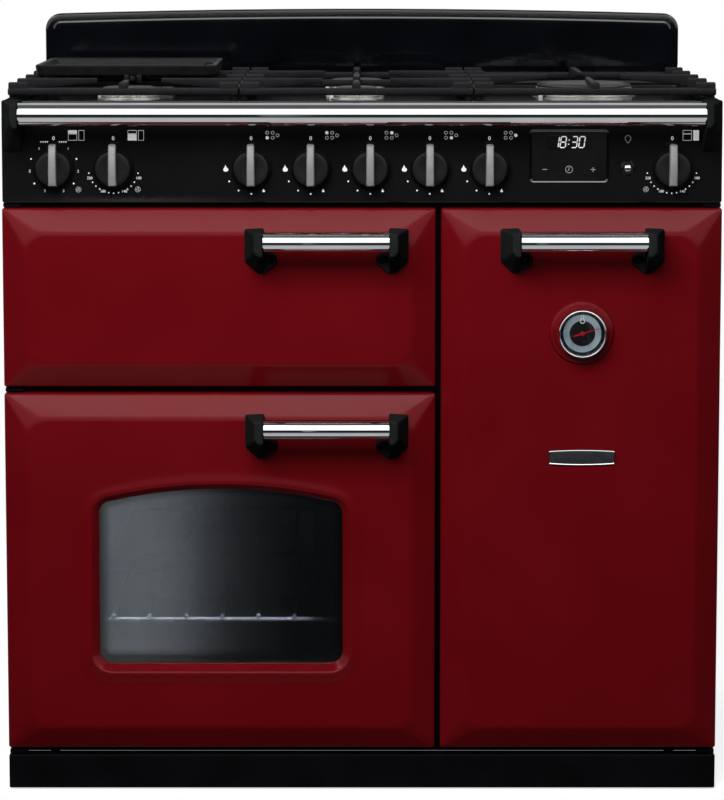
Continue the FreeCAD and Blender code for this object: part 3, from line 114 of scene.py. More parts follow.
# baked satin coat on plinth and frame, dull; the grit is drawn at 1.2 mm so that it shows
satinBlack = mottled("satin black powder coat", "#09080a", "#0e0d10", 60, (0.36, 0.46), 1.2, 0.05, shine=0.03)
# coarser coat of the side panels
sideCoat = mottled("textured black powder coat", "#131214", "#1a191b", 45, (0.45, 0.58), 1.6, 0.25, shine=0.25)
# spark-eroded ABS of the brackets: fine even grain, no mirror
bracketPlastic = mottled("spark-finished black ABS", "#212322", "#2a2b2b", 30, (0.38, 0.48), 0.9, 0.06, shine=0.0)
# moulded knob drums, a little smoother, and a darker matt copy of the same plastic on their flanges, which is
# painted shade
knobPlastic = mottled("satin black ABS", "#141414", "#1a1a1a", 25, (0.30, 0.38), 0.8, 0.04, shine=0.2)
shadedFlangePlastic = mottled("matt black ABS, painted shade on knob flanges", "#050505", "#080808", 25, (0.42, 0.50), 0.8, 0.04, shine=0.05)
# polished plate on tube: mirror with faint handling haze
polishedChrome = mottled("polished chrome plate", "#cfd2d6", "#dfe1e3", 80, (0.022, 0.045), 2, 0.001, 1.0)
# metallised satin of the knob grips: bright, softly blurred
satinSilver = mottled("satin metallised ABS", "#959697", "#a2a3a4", 12, (0.32, 0.40), 0.7, 0.02, 0.12, shine=0.12)
# matt enamel over a sand casting: grey-black, pebbled
castIron = mottled("matt enamelled cast iron", "#111113", "#1b1b1d", 9, (0.40, 0.54), 1.6, 0.34, shine=0.12)
# seasoned griddle iron, darker and smoother
griddleIron = mottled("non-stick coated cast iron", "#0f0f11", "#171719", 14, (0.34, 0.44), 1.4, 0.20, shine=0.12)
# die-cast aluminium burner heads, tumbled
castAlloy = mottled("die-cast aluminium", "#8d8c88", "#a6a5a1", 7, (0.32, 0.45), 1.0, 0.10, 1.0)
# matt black enamel burner caps
capEnamel = mottled("matt black enamel", "#0d0d0d", "#151515", 15, (0.42, 0.52), 1.3, 0.08)
# glazed alumina igniter tips
ceramic = mottled("glazed white ceramic", "#d9d6cf", "#ece9e2", 3, (0.18, 0.28), 0.8, 0.03)
# nickel-plated shelf wire: bright, a little dulled by cleaning
nickelWire = mottled("nickel-plated wire", "#c4c7ca", "#d6d9db", 30, (0.25, 0.35), 0.8, 0.02, 0.5)
# black oxide on the handle screws
oxideSteel = mottled("black-oxide steel", "#0b0b0c", "#151516", 4, (0.35, 0.45), 0.7, 0.04, 1.0)
# cold-rolled steel of hinges, fans and spindles
plainSteel = mottled("cold-rolled steel", "#85878a", "#9b9da0", 18, (0.28, 0.42), 0.9, 0.05, 1.0)
# sheathed heating rods, oxidised by heat; the same dark finish is laid on the shelf wires as painted shade
heatedSteelAndShade = mottled("heat-oxidised steel and painted shelf shade", "#2c2825", "#4a423c", 22, (0.40, 0.55), 1.0, 0.08, 1.0)
# turned and cast gas brass
gasBrass = mottled("plain brass", "#a88642", "#bf9a52", 16, (0.25, 0.38), 0.9, 0.05, 1.0)
# glass-fibre cord in a silicone sleeve
sealRubber = mottled("silicone gasket", "#1c1c1d", "#262627", 6, (0.60, 0.75), 1.0, 0.20)
# screen-printed enamel inks, both given a painted glow that keeps them bright in the rail's shadow
whiteInk = mottled("white screen ink", "#d2d2d2", "#e6e6e6", 5, (0.40, 0.55), 0.7, 0.03, glow=0.34)
greyInk = mottled("grey screen ink", "#8d8d8d", "#a2a2a2", 5, (0.40, 0.55), 0.7, 0.03, glow=0.10)
# smoked acrylic round the clock, its satin face, and the display's pane
clockWindow = mottled("smoked acrylic", "#050506", "#09090a", 60, (0.04, 0.07), 3, 0.004, shine=0.7)
clockFace = mottled("satin black acrylic", "#070708", "#0c0c0d", 50, (0.22, 0.30), 2, 0.01, shine=0.2)
displayPane = mottled("dark grey display pane", "#141415", "#18181a", 40, (0.20, 0.26), 2, 0.01, shine=0.2)
# red lacquer of the needle, printed dial colours, field of the plate
needleLacquer = mottled("red lacquer", "#c40f17", "#d8141d", 6, (0.18, 0.26), 0.8, 0.02)
dialPale = mottled("pale blue dial print", "#93a5b1", "#b3c2cb", 20, (0.25, 0.35), 0.9, 0.01)
dialBlack = mottled("black dial print", "#06070a", "#0b0c10", 12, (0.20, 0.30), 0.9, 0.01)
badgeField = mottled("dark grey lacquer", "#232427", "#2c2d30", 10, (0.28, 0.36), 0.8, 0.02)

# vacuum-fluorescent digits: they glow a little
litSegments, tree, coord = newMaterial("lit display segments")
shade = clouded(tree, coord, 2, "#dcdcd8", "#f4f4f0", 0.2, 0.8)[1]
lamp = {"Emission Color": shade, "Emission Strength": 0.55}
add(tree, "OutputMaterial", add(tree, "BsdfPrincipled", shade, Roughness=0.5, **lamp))

# oven enamel: blue-black glaze with pale specks, one in every 7 mm cell
ovenEnamel, tree, coord = newMaterial("speckled oven enamel")
cells = add(tree, "TexVoronoi", coord, Scale=perMetre(7))
specks = add(tree, "ValToRGB", cells, ramp=((0.10, linear("#8e969c")), (0.16, linear("#191d22"))))
grain = add(tree, "TexNoise", coord, Scale=perMetre(3))
bump = add(tree, "Bump", Strength=0.06, Distance=0.001, Height=grain)
gloss = add(tree, "MapRange", grain, 0.0, 1.0, 0.14, 0.26)
add(tree, "OutputMaterial", add(tree, "BsdfPrincipled", specks, Roughness=gloss, Normal=bump))

# hot-dip zinc on sheet: flat crystals about 14 mm across, each with its own grey and gloss
zincSteel, tree, coord = newMaterial("hot-dip zinc sheet")
spangle = add(tree, "TexVoronoi", coord, Scale=perMetre(14)).outputs["Color"]
shade = add(tree, "ValToRGB", spangle, ramp=((0.1, linear("#8a8e91")), (0.9, linear("#adb1b4"))))
gloss = add(tree, "MapRange", spangle, 0.0, 1.0, 0.30, 0.48)
add(tree, "OutputMaterial", add(tree, "BsdfPrincipled", shade, Metallic=0.8, Roughness=gloss))


def clearGlass(name, dark, light, cloudMm, rough, ior):
    # glass with a faint tint that wanders
    material, tree, coord = newMaterial(name)
    shade = clouded(tree, coord, cloudMm, dark, light)[1]
    surface = add(tree, "BsdfPrincipled", shade, Roughness=rough, IOR=ior, **{"Transmission Weight": 1.0})
    output = add(tree, "OutputMaterial", surface)
    return material, tree, coord, surface, output


# outer oven pane, cover glass of the dial
floatGlass = clearGlass("float glass", "#cfd5dc", "#dbe0e6", 90, 0.012, 1.45)[0]
dialGlass = clearGlass("clear dial glass", "#f2f5f6", "#fbfcfc", 40, 0.01, 1.2)[0]
print("finishes made:", len(bpy.data.materials))

# shapes: grids of points


def patch(points, wrapRows=False, caps=True, finish=0):
    # rows of closed rings; the first and last ring are closed by a face unless the rows join up
    return {"points": np.asarray(points, float), "wrapRows": wrapRows, "caps": caps, "finish": finish}


def addPiece(name, body, finishes, patches, replaces=(), sharpDeg=38, bevelMm=0.0):
    # a patch is a grid, or points with faces of their own
    points, faces, faceFinish, smooth, start = [], [], [], [], 0
    for p in patches:
        if "faces" in p:
            found = [[start + i for i in face] for face in p["faces"]]
            rounded = [False] * len(found)
        else:
            rows, cols = p["points"].shape[:2]
            index = start + np.arange(rows * cols).reshape(rows, cols)
            ring = np.hstack([index, index[:, :1]])
            ring = np.vstack([ring, ring[:1]]) if p["wrapRows"] else ring
            around = [ring[:-1, :-1], ring[:-1, 1:], ring[1:, 1:], ring[1:, :-1]]
            found = np.stack(around, -1).reshape(-1, 4).tolist()
            rounded = [True] * len(found)
            if p["caps"] and not p["wrapRows"]:
                found += [index[0, ::-1].tolist(), index[-1].tolist()]
                rounded += [False, False]
        points.append(p["points"].reshape(-1, 3) / 1000)
        faces += found
        faceFinish += [p["finish"]] * len(found)
        smooth += rounded
        start += len(points[-1])
    mesh = bpy.data.meshes.new(name)
    mesh.from_pydata(np.concatenate(points).tolist(), [], faces)
    for finish in finishes:
        mesh.materials.append(finish)
    mesh.polygons.foreach_set("material_index", faceFinish)
    mesh.polygons.foreach_set("use_smooth", smooth)
    clean = bmesh.new()
    clean.from_mesh(mesh)
    bmesh.ops.remove_doubles(clean, verts=clean.verts, dist=2e-6)
    bmesh.ops.dissolve_degenerate(clean, edges=clean.edges, dist=1e-6)
    bmesh.ops.recalc_face_normals(clean, faces=clean.faces)
    clean.to_mesh(mesh)
    clean.free()
    mesh.set_sharp_from_angle(angle=math.radians(sharpDeg))
    piece = bpy.data.objects.new(name, mesh)
    link(piece)
    if bevelMm:
        edge = piece.modifiers.new("edge", "BEVEL")
        edge.width, edge.segments, edge.limit_method = bevelMm / 1000, 3, "ANGLE"
        edge.harden_normals = True
    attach(piece, body)
    if replaces:
        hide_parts(*replaces)


def spans(node):
    # the node's box as (low, high) in x, y and z
    low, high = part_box(node)
    return list(zip(np.array(low) * 1000, np.array(high) * 1000))


def mid(span):
    return (span[0] + span[1]) / 2


def about(middle, half):
    return middle - half, middle + half


def arc(centre, radius, start, end, count):
    angle = np.linspace(start, end, count)
    return np.asarray(centre, float) + radius * np.stack([np.cos(angle), np.sin(angle)], -1)


def circle(radius, sides, centre=(0, 0)):
    return arc(centre, radius, 0, 2 * math.pi, sides + 1)[:-1]


def squared(sides, power):
    # unit circle pushed out towards a square: sign(c) |c|^power for both coordinates
    unit = circle(1, sides)
    return (np.sign(unit) * np.abs(unit) ** power).T


def corners(x0, x1, z0, z1):
    return np.array([(x0, z0), (x1, z0), (x1, z1), (x0, z1)], float)


def eased(points, cuts, steps=6, base=0.0):
    # a broken line, levels counted from base, whose corners turn into curves cut back along each side:
    # (1-t)^2 a + 2t(1-t) corner + t^2 b
    points = np.asarray(points, float) + (0, base)
    line = [points[:1]]
    t = np.linspace(0, 1, steps)[:, None]
    for before, corner, after, cut in zip(points[:-2], points[1:-1], points[2:], cuts):
        a = corner + (before - corner) * min(cut / np.linalg.norm(before - corner), 0.49)
        b = corner + (after - corner) * min(cut / np.linalg.norm(after - corner), 0.49)
        line.append((1 - t) ** 2 * a + 2 * t * (1 - t) * corner + t ** 2 * b if cut else corner[None])
    return np.concatenate(line + [points[-1:]])


def turned(profile, centre, sides, axis="y", wrapRows=False, finish=0):
    # a profile of (radius, distance along the axis) carried round that axis
    profile, unit = np.asarray(profile, float), circle(1, sides)
    a, b = profile[:, :1] * unit[:, 0], profile[:, :1] * unit[:, 1]
    along = profile[:, 1:] + 0 * a
    order = {"x": (along, a, b), "y": (a, along, b), "z": (a, b, along)}[axis]
    return patch(np.stack(order, -1) + np.asarray(centre, float), wrapRows, False, finish)


def joinArcs(arcs, side, crown=None):
    # four arcs and the sides between them, straight unless the second is given
    t = np.linspace(0, 1, side + 2)[1:-1, None]
    line = []
    for n, piece in enumerate(arcs):
        straight = piece[-1] + (arcs[(n + 1) % 4][0] - piece[-1]) * t
        line += [piece, straight if n != 1 or crown is None else crown]
    return np.concatenate(line)


def rectOutline(x, z, radius, side=10, corner=8):
    # four straight sides joined by quarter circles, anticlockwise from the lower right corner
    inX, inZ = (x[0] + radius, x[1] - radius), (z[0] + radius, z[1] - radius)
    centres = ((inX[1], inZ[0]), (inX[1], inZ[1]), (inX[0], inZ[1]), (inX[0], inZ[0]))
    quarter = math.pi / 2
    return joinArcs([arc(c, radius, (n - 1) * quarter, n * quarter, corner) for n, c in enumerate(centres)], side)


def insetRect(x, z, inset, radius, side=10, corner=8):
    return rectOutline((x[0] + inset, x[1] - inset), (z[0] + inset, z[1] - inset), radius, side, corner)


def archOutline(x, z, rise, radius, grow=0.0, side=10, corner=8):
    # as above, the upper side bent to a circle of radius (half^2 + rise^2) / (2 rise); grow moves it all outward
    half, middle = (x[1] - x[0]) / 2, mid(x)
    big = (half ** 2 + rise ** 2) / (2 * rise) + grow
    top, r = z[1] + grow - big, radius + grow
    left, right, low = x[0] - grow + r, x[1] + grow - r, z[0] - grow + r
    high = top + math.sqrt((big - r) ** 2 - (right - middle) ** 2)
    meet = math.atan2(high - top, right - middle)
    ends = (((right, low), -math.pi / 2, 0), ((right, high), 0, meet), ((left, high), math.pi - meet, math.pi),
            ((left, low), math.pi, math.pi * 1.5))
    crown = arc((middle, top), big, meet, math.pi - meet, side + 2)[1:-1]
    return joinArcs([arc(centre, r, start, end, corner) for centre, start, end in ends], side, crown)


def stacked(layers, plane="xz", **kind):
    # closed outlines in one plane, each with its level on the third axis
    points = np.array([np.insert(np.asarray(outline, float), 2, level, 1) for outline, level in layers])
    return patch(points[..., (0, 2, 1) if plane == "xz" else (0, 1, 2)], **kind)


def rings(run, outline):
    # run holds (offset, level): outline(offset) is drawn at each level
    return [(outline(offset), level) for offset, level in run]


def lofted(run, outline, plane="xz", **kind):
    return stacked(rings(run, outline), plane, **kind)


def tray(x, z, run, radius, plane="xz", **kind):
    # rounded rectangles drawn in by the run's offsets; radius(offset) is the corner
    return lofted(run, lambda i: insetRect(x, z, i, radius(i)), plane, **kind)


def castBar(start, end, widths, lows, highs, squareness=6.0, sides=20, tip=1.4):
    # section |a|^n + |b|^n = 1 carried from start to end in plan; width, underside and top change along it
    start, end = np.array(start, float), np.array(end, float)
    length = np.linalg.norm(end - start)
    heading = (end - start) / length
    t = np.array([0, 0, 0.35 * tip, tip, length / 2, length - tip, length - 0.35 * tip, length, length]) / length
    draw = np.array([0, 0.72, 0.93, 1, 1, 1, 0.93, 0.72, 0])[:, None]
    a, b = squared(sides, 2 / squareness)
    width, low, high = (np.interp(t, [0, 1], np.broadcast_to(ends, 2))[:, None] for ends in (widths, lows, highs))
    plan = start + (end - start) * t[:, None]
    offset = draw * width / 2 * a
    z = (low + high) / 2 + draw * (high - low) / 2 * b
    points = [plan[:, :1] - heading[1] * offset, plan[:, 1:] + heading[0] * offset, z]
    return patch(np.stack(points, -1), caps=False)


def prism(outline, front, back, finish=0):
    # a flat outline in x and z given thickness in y
    return stacked([(outline, back), (outline, front)], finish=finish)


def hollow(outer, inner, front, back):
    return stacked([(outer, front), (inner, front), (inner, back), (outer, back)], wrapRows=True)


def disc(radius, centre, front, back, sides=16):
    return prism(circle(radius, sides, centre), front, back)


def ringBand(outer, inner, centre, front, back, sides=32, finish=0):
    profile = [(inner, front), (outer, front), (outer, back), (inner, back)]
    return turned(profile, (centre[0], 0, centre[1]), sides, wrapRows=True, finish=finish)


# doors

doorPress = {"edgeRound": 3.0, "crestRound": 4.0, "bevel": 30.0, "raise": 16.0, "cornerOut": 3.0,
             "cornerIn": 23.0, "sheet": 1.5, "flat": 56.0}
window = {"side": (117.5, 116.5), "low": 111.0, "height": 223.0, "rise": 19.0, "corner": 16.0,
          "lip": 23.0, "crest": 9.5, "raiseLow": 3.4, "raiseTop": 1.5, "sink": 8.5, "print": 15.0}
grillX, (plateauY, doorBack), grillZ = spans("grill_door_skin")
tallX, (bossTop, tallBack), tallZ = spans("tall_door_skin")
mainZ = spans("main_door_skin")[2]
edgeY = plateauY + doorPress["raise"]


def doorCorner(inset):
    return float(np.interp(inset, (0, doorPress["bevel"]), (doorPress["cornerOut"], doorPress["cornerIn"])))


# outside: side wall, rounded edge, bevel, soft crest, plateau; inside follows one sheet behind
sheet, bevel, flat, crest = (doorPress[key] for key in ("sheet", "bevel", "flat", "crestRound"))
outside = eased([(0, doorBack), (0, edgeY), (bevel, plateauY), (flat, plateauY)],
                (doorPress["edgeRound"], crest), 8)
innerY = plateauY + sheet
inside = eased([(flat, innerY), (bevel + 0.4, innerY), (sheet, edgeY + 0.9), (sheet, doorBack)], (crest, 2.0))
doorRun = np.concatenate([inside, outside])
addPiece("grillDoorPressing", "grill_door", [redEnamel],
         [tray(grillX, grillZ, doorRun, doorCorner)], ["grill_door_skin"])

# the tall door has a round boss for the dial
caseX, (caseFront, caseBack), caseZ = spans("gauge_case")
gaugeX, gaugeZ = mid(caseX), mid(caseZ)
rise = bossTop - plateauY
boss = eased([(0, 1), (41, 1), (38.5, -4.5), (34, -5.0), (33.2, rise), (0, rise)],
             (0.2, 2.5, 1.2, 1.2), base=plateauY)
addPiece("tallDoorPressing", "tall_door", [redEnamel],
         [tray(tallX, tallZ, doorRun, doorCorner), turned(boss, (gaugeX, 0, gaugeZ), 96)], ["tall_door_skin"])

# the main door is one sheet from its edge to the window's lip and back
windowX = (grillX[0] + window["side"][0], grillX[1] - window["side"][1])
windowZ = (mainZ[0] + window["low"], mainZ[0] + window["low"] + window["height"])
glassY = plateauY + window["sink"]


def windowOutline(grow):
    return archOutline(windowX, windowZ, window["rise"], window["corner"], grow)


def mainOutline(inset):
    return insetRect(grillX, mainZ, inset, doorCorner(inset))


lipFoot = window["lip"] + 14
lipRun = eased([(lipFoot, plateauY), (window["lip"], plateauY), (window["crest"], plateauY - window["raiseLow"]),
                (0, glassY - 0.5), (0, glassY + 2)], (9, 3, 0.6), 8)
lipBack = [(14, glassY + 2), (lipFoot, innerY)]
mainShell = stacked(rings(outside, mainOutline) + rings([*lipRun, *lipBack], windowOutline)
                    + rings(inside, mainOutline), wrapRows=True)
# the lip stands out less towards its top: what rises above the plateau is scaled by its height
mainY, mainUp = mainShell["points"][..., 1], mainShell["points"][..., 2]
lipScale = np.interp(mainUp, windowZ, (1.0, window["raiseTop"] / window["raiseLow"]))
mainY += np.minimum(mainY - plateauY, 0) * (lipScale - 1)
addPiece("mainDoorPressing", "main_door", [redEnamel], [mainShell], ["main_door_skin"])

# inner pane: tinted glass with a heat mirror, so a higher IOR, and a black print that fades inward from the edge
mirrorGlass, tree, coord, glass, output = clearGlass("heat-reflecting glass, printed border", "#b4bcc2",
                                                     "#bec6cc", 90, 0.02, 2.8)
spot = add(tree, "SeparateXYZ", coord).outputs
bow = (((windowX[1] - windowX[0]) / 2) ** 2 + window["rise"] ** 2) / (2 * window["rise"])
crownAt = (mid(windowX) / 1000, 0, (windowZ[1] - bow) / 1000)
level = add(tree, "CombineXYZ", spot["X"], 0.0, spot["Z"])
fromCrown = add(tree, "VectorMath", level, crownAt, operation="DISTANCE").outputs["Value"]
nearest = None
for left, right in ((spot["X"], windowX[0] / 1000), (windowX[1] / 1000, spot["X"]),
                    (spot["Z"], windowZ[0] / 1000), (bow / 1000, fromCrown)):
    inward = add(tree, "Math", left, right, operation="SUBTRACT")
    nearest = add(tree, "Math", nearest, inward, 0.012, operation="SMOOTH_MIN") if nearest else inward
clear = add(tree, "MapRange", nearest, 0.0, window["print"] / 1000, 0.12, 1.0, interpolation_type="SMOOTHSTEP")
border = add(tree, "BsdfPrincipled", linear("#0a0a0c"), Roughness=0.4, **{"Specular IOR Level": 0.1})
tree.links.new(add(tree, "MixShader", clear, border, glass).outputs[0], output.inputs["Surface"])

# panes with ground edges, and the black spacer frame between them
paneEdge = 0.6
outerPaneBack, innerPaneFront, innerPaneBack = glassY + 5.5, doorBack - 4.9, doorBack - 1.5


def pane(grow, front, back, finish):
    run = [(grow - paneEdge, front), (grow, front + paneEdge), (grow, back - paneEdge), (grow - paneEdge, back)]
    return lofted(run, windowOutline, finish=finish)


addPiece("ovenWindowPanes", "main_door", [floatGlass, mirrorGlass],
         [pane(9, glassY + 2.05, outerPaneBack, 0), pane(8, innerPaneFront, innerPaneBack, 1)],
         ["main_door_panes"])
spacerFront, spacerBack = outerPaneBack + 0.1, innerPaneFront - 1.4
spacerRun = [(8, spacerFront), (0.6, spacerFront), (0.6, spacerBack), (8, spacerBack)]
addPiece("windowSpacer", "main_door", [satinBlack],
         [lofted(spacerRun, windowOutline, wrapRows=True)])

# inner door panels: flat border, shallow pressed field
innerPress = {"border": 34.0, "depth": 5.0, "slope": 10.0, "corner": 22.0, "sheet": 1.2, "gap": 1.6,
              "field": 12.0}


def innerPanel(name, body, x, z, opening=None):
    p, thick, border = innerPress, innerPress["sheet"], innerPress["border"]
    level, foot = doorBack - p["depth"], border + p["slope"]
    middle = foot + p["field"]
    outline = lambda i: insetRect(x, z, p["gap"] + i, 2.0 + (p["corner"] - 2.0) * min(i / border, 1.0))
    face = eased([(0, doorBack - thick), (0, doorBack), (border, doorBack), (foot, level), (middle, level)],
                 (0.5, 3, 3), 5)
    rear = [(middle, level - thick), (border, level - thick)]
    if opening is None:
        shell = lofted([*rear[::-1], *face], outline)
    else:
        hole = rings([(opening, level), (opening, level - thick)], windowOutline)
        shell = stacked(rings(face, outline) + hole + rings(rear, outline), wrapRows=True)
    addPiece(name, body, [ovenEnamel], [shell], [body + "_inner"])


innerPanel("grillDoorLining", "grill_door", grillX, grillZ)
innerPanel("tallDoorLining", "tall_door", tallX, tallZ)
innerPanel("mainDoorLining", "main_door", grillX, mainZ, opening=0.5)
print("doors pressed")

# handles and handrail

handle = {"strip": 11.0, "wide": 25.0, "over": 14.0, "shoulder": 29.0, "under": 44.0, "frontUnder": 17.0,
          "ahead": 2.0, "earR": 9.5, "earIn": 6.0, "earZ": 26.0, "screwR": 4.4, "web": 12.5, "webZ": 33.5}
handrail = {"strip": 9.0, "wide": 26.0, "over": 16.0, "foot": 812.0}
barInBracket = 4.0


def chromeTube(name, body, node, sides):
    # a tube with eased ends; gives back where its brackets start and which way they go, its axis and its radius
    x, y, z = spans(node)
    radius = (z[1] - z[0]) / 2
    tube = eased([(0, x[0]), (radius, x[0]), (radius, x[1]), (0, x[1])], (0.8, 0.8), 4)
    bar = turned(tube, (0, mid(y), mid(z)), sides, "x")
    addPiece(name, body, [polishedChrome], [bar], [node])
    return ((x[0] + barInBracket, -1), (x[1] - barInBracket, 1)), mid(y), mid(z), radius


def bracket(sections, inner, outward, axisZ, levels):
    # five-sided base, middle and front joined by straight sides
    return stacked(zip(np.array(sections, float) * (outward, 1) + (inner, axisZ), levels))


def screwEar(inner, outward, axisZ, back):
    # a round lug beside the bracket with a sunk screw, and a web that tapers from it to the bracket's point
    h, earR, screwR = handle, handle["earR"], handle["screwR"]
    spot = (inner - outward * h["earIn"], 0, axisZ - h["earZ"])
    lug = eased([(0, 0.5), (earR + 1, 0.5), (earR, -8.5), (screwR + 1.2, -8.5), (screwR, -3), (0, -3)],
                (0.2, 2.0, 0.6, 0.4), 5, back)
    head = eased([(0, -3), (3.6, -3), (3.4, -4.6), (1.5, -4.8), (1.2, -3.8), (0, -3.8)],
                 (0.1, 0.5, 0.3, 0.1), 4, back)
    web = np.array([(1, -h["earZ"]), (-h["web"], 2 - h["webZ"]), (1, -h["under"])])
    web = web * (outward, 1) + (inner, axisZ)
    middle = web.mean(0)
    return [turned(lug, spot, 40), turned(head, spot, 24, finish=1),
            stacked([(web, back + 0.5), (web, back - 6.0), (middle + (web - middle) * 0.8, back - 7.6)])]


def doorHandle(name, door):
    bar, plates = door + "_handle_bar", door + "_handle_brackets"
    ends, axisY, axisZ, radius = chromeTube(name + "Bar", door, bar, 72)
    h, over, under, strip = handle, handle["over"], handle["frontUnder"], handle["strip"]
    base = np.array([(0, over), (h["wide"], over - 1), (h["wide"], -h["shoulder"]), (9, -h["under"]),
                     (0, -h["under"])])
    tip = np.array([(0, over - 1), (strip, over - 3), (strip, 5.5 - under), (strip - 5, -under), (0, -under)])
    front, back = axisY - radius - h["ahead"], plateauY + 0.4
    sections, levels = [base, 0.45 * base + 0.55 * tip, tip], [back, (front + back) / 2, front]
    wedges = [bracket(sections, *end, axisZ, levels) for end in ends]
    ears = [part for end in ends for part in screwEar(*end, axisZ, plateauY)]
    addPiece(name + "Brackets", door, [bracketPlastic], wedges, [plates], bevelMm=2.9)
    addPiece(name + "ScrewLugs", door, [bracketPlastic, oxideSteel], ears)


for door in ("grill", "main", "tall"):
    doorHandle(door + "Handle", door + "_door")

panelX, (panelFace, panelRear), panelZ = spans("control_panel")
railEnds, railY, railZ = chromeTube("handrailTube", "cooker", "handrail", 80)[:3]
over, wide, strip, foot = handrail["over"], handrail["wide"], handrail["strip"], handrail["foot"] - railZ
sections = [[(0, over), (wide, over - 1), (wide, foot + 4), (wide - 7, foot), (0, foot)],
            [(0, over), (strip + 10, over - 1), (strip + 10, -24), (strip + 3, -31), (0, -31)],
            [(0, over - 1), (strip, over - 3), (strip, -10), (strip - 4, -16), (0, -16)]]
levels = [panelFace + 0.3, (railY - over + panelFace) / 2, railY - over]
addPiece("handrailEnds", "cooker", [bracketPlastic],
         [bracket(sections, *end, railZ, levels) for end in railEnds], ["handrail_brackets"], bevelMm=2.6)
print("handles and handrail made")

# control panel and knobs

panelRun = eased([(12, panelFace + 1.5), (1.5, panelFace + 1.5), (1.5, panelRear), (0, panelRear), (0, panelFace),
                  (18, panelFace)], (1.0, 0, 0, 1.3))
addPiece("controlFascia", "cooker", [panelEnamel],
         [tray(panelX, panelZ, panelRun, lambda i: 2.5)], ["control_panel"])

knob = {"flangeR": 25.0, "drumR": 21.6, "gripUp": 31.0, "gripDown": 21.6, "gripWide": 10.0, "gripOut": 13.0}


def roundEnd(distance, reach):
    # 1 - (1 - d)^2, with d the share of the reach: a quarter-round rise from an end
    return 1 - (1 - np.clip(distance / reach, 0, 1)) ** 2


def controlKnob(name, node):
    box = spans(node)
    x, back, z = mid(box[0]), box[1][1], box[2][0] + knob["flangeR"]
    flangeR, drumR = knob["flangeR"], knob["drumR"]
    # flange, then a drum with a rounded shoulder and a shallow dished face
    flange = eased([(0, 0), (flangeR, 0), (flangeR - 0.6, -3), (20, -3.4), (0, -3.4)], (0.4, 1.2, 0.4), base=back)
    drum = eased([(0, -2.5), (drumR, -2.5), (drumR - 0.3, -11), (17, -11.4), (0, -10.6)],
                 (0.4, 1.0, 3.0), base=back)
    # grip: a rounded bar along z, its section squared, height of the crown falling away at both ends
    face = back - 10.6
    t = np.concatenate([[0.0], 0.5 - 0.5 * np.cos(np.linspace(0.25, math.pi - 0.25, 26)), [1.0]])
    along = -knob["gripDown"] + t * (knob["gripUp"] + knob["gripDown"])
    fromTop, fromLow = knob["gripUp"] - along, along + knob["gripDown"]
    crown = (knob["gripOut"] - 4.6 * ((along - 4) / 28) ** 2) * np.clip(roundEnd(fromTop, 2.4), 0.02, 1) ** 0.5
    crown *= np.clip(roundEnd(fromLow, 2.2), 0.02, 1) ** 0.5
    half = (knob["gripWide"] - 0.016 * along) / 2 * (0.6 + 0.4 * roundEnd(fromTop, 1.8))
    a, b = squared(28, 0.42)
    depth = (crown[:, None] + 3) / 2
    grip = np.stack([x + half[:, None] * a, face + 3 - depth + depth * b, z + along[:, None] + 0 * a], -1)
    spot = (x, 0, z)
    # the flange takes the darker copy of the knob plastic: painted shade round the drum
    addPiece(name, node, [knobPlastic, satinSilver, shadedFlangePlastic],
             [turned(drum, spot, 72), patch(grip, finish=1), turned(flange, spot, 72, finish=2)], [node])
    return x, z


knobSpots = {}
for node in ["grill_knob", "main_oven_knob", "tall_oven_knob"] + [f"gas_knob_{n}" for n in range(1, 6)]:
    words = node.split("_")
    knobSpots[node] = controlKnob(words[0] + "".join(w.capitalize() for w in words[1:]), node)
print("panel and knobs made")

# markings on the panel: plain numbers and generic signs

marks = {"thick": 0.12, "line": 0.42, "digit": 5.0, "small": 3.3, "bold": 0.018, "burnerR": 2.1,
         "dotR": 1.1, "tickR": 0.9}
inkAt = (panelFace - marks["thick"], panelFace + 0.05)
ink, inkGrey, lettering = [], [], []


def write(text, x, z, height, bold=0.0):
    # digits as a closed mesh: outline points in x and z around their middle
    curve = bpy.data.curves.new("digits", "FONT")
    curve.body, curve.size, curve.extrude = text, 1.0, 0.05
    curve.align_x, curve.align_y, curve.resolution_u, curve.offset = "CENTER", "CENTER", 3, bold
    holder = bpy.data.objects.new("digits", curve)
    link(holder)
    mesh = bpy.data.meshes.new_from_object(holder.evaluated_get(bpy.context.evaluated_depsgraph_get()))
    points = np.array([vertex.co for vertex in mesh.vertices])
    faces = [list(p.vertices) for p in mesh.polygons]
    bpy.data.objects.remove(holder)
    bpy.data.curves.remove(curve)
    bpy.data.meshes.remove(mesh)
    low, high = points[:, :2].min(0), points[:, :2].max(0)
    flat = (points[:, :2] - (low + high) / 2) * height / (high[1] - low[1])
    y = np.where(points[:, 2] > 0, *inkAt)
    lettering.append({"points": np.stack([x + flat[:, 0], y, z + flat[:, 1]], -1), "faces": faces, "finish": 0})


def frameSign(x, z, wide, high, filled):
    line = marks["line"]
    outer = corners(x, x + wide, z, z + high)
    inner = corners(x + line, x + wide - line, z + line, z + high - line)
    ink.append(prism(outer, *inkAt) if filled else hollow(outer, inner, *inkAt))


def cookerSign(x, z, filled):
    # which cavity: two stacked on the left, one tall on the right
    frameSign(x, z + 8.4, 11, 4.3, filled == "grill")
    frameSign(x, z, 11, 8, filled == "main")
    frameSign(x + 12.9, z, 7.1, 12.7, filled == "tall")


def flame(x, z, high):
    # one tongue leaning left with a smaller one beside it
    outline = np.array([(0.0, 0.0), (0.2, 0.04), (0.31, 0.17), (0.33, 0.33), (0.25, 0.56), (0.17, 0.46),
                        (0.1, 0.66), (-0.07, 1.0), (-0.08, 0.82), (-0.16, 0.64), (-0.29, 0.44), (-0.33, 0.27),
                        (-0.28, 0.13), (-0.17, 0.03)])
    ink.append(prism(outline * (1.1 * high, high) + (x, z - high / 2), *inkAt))


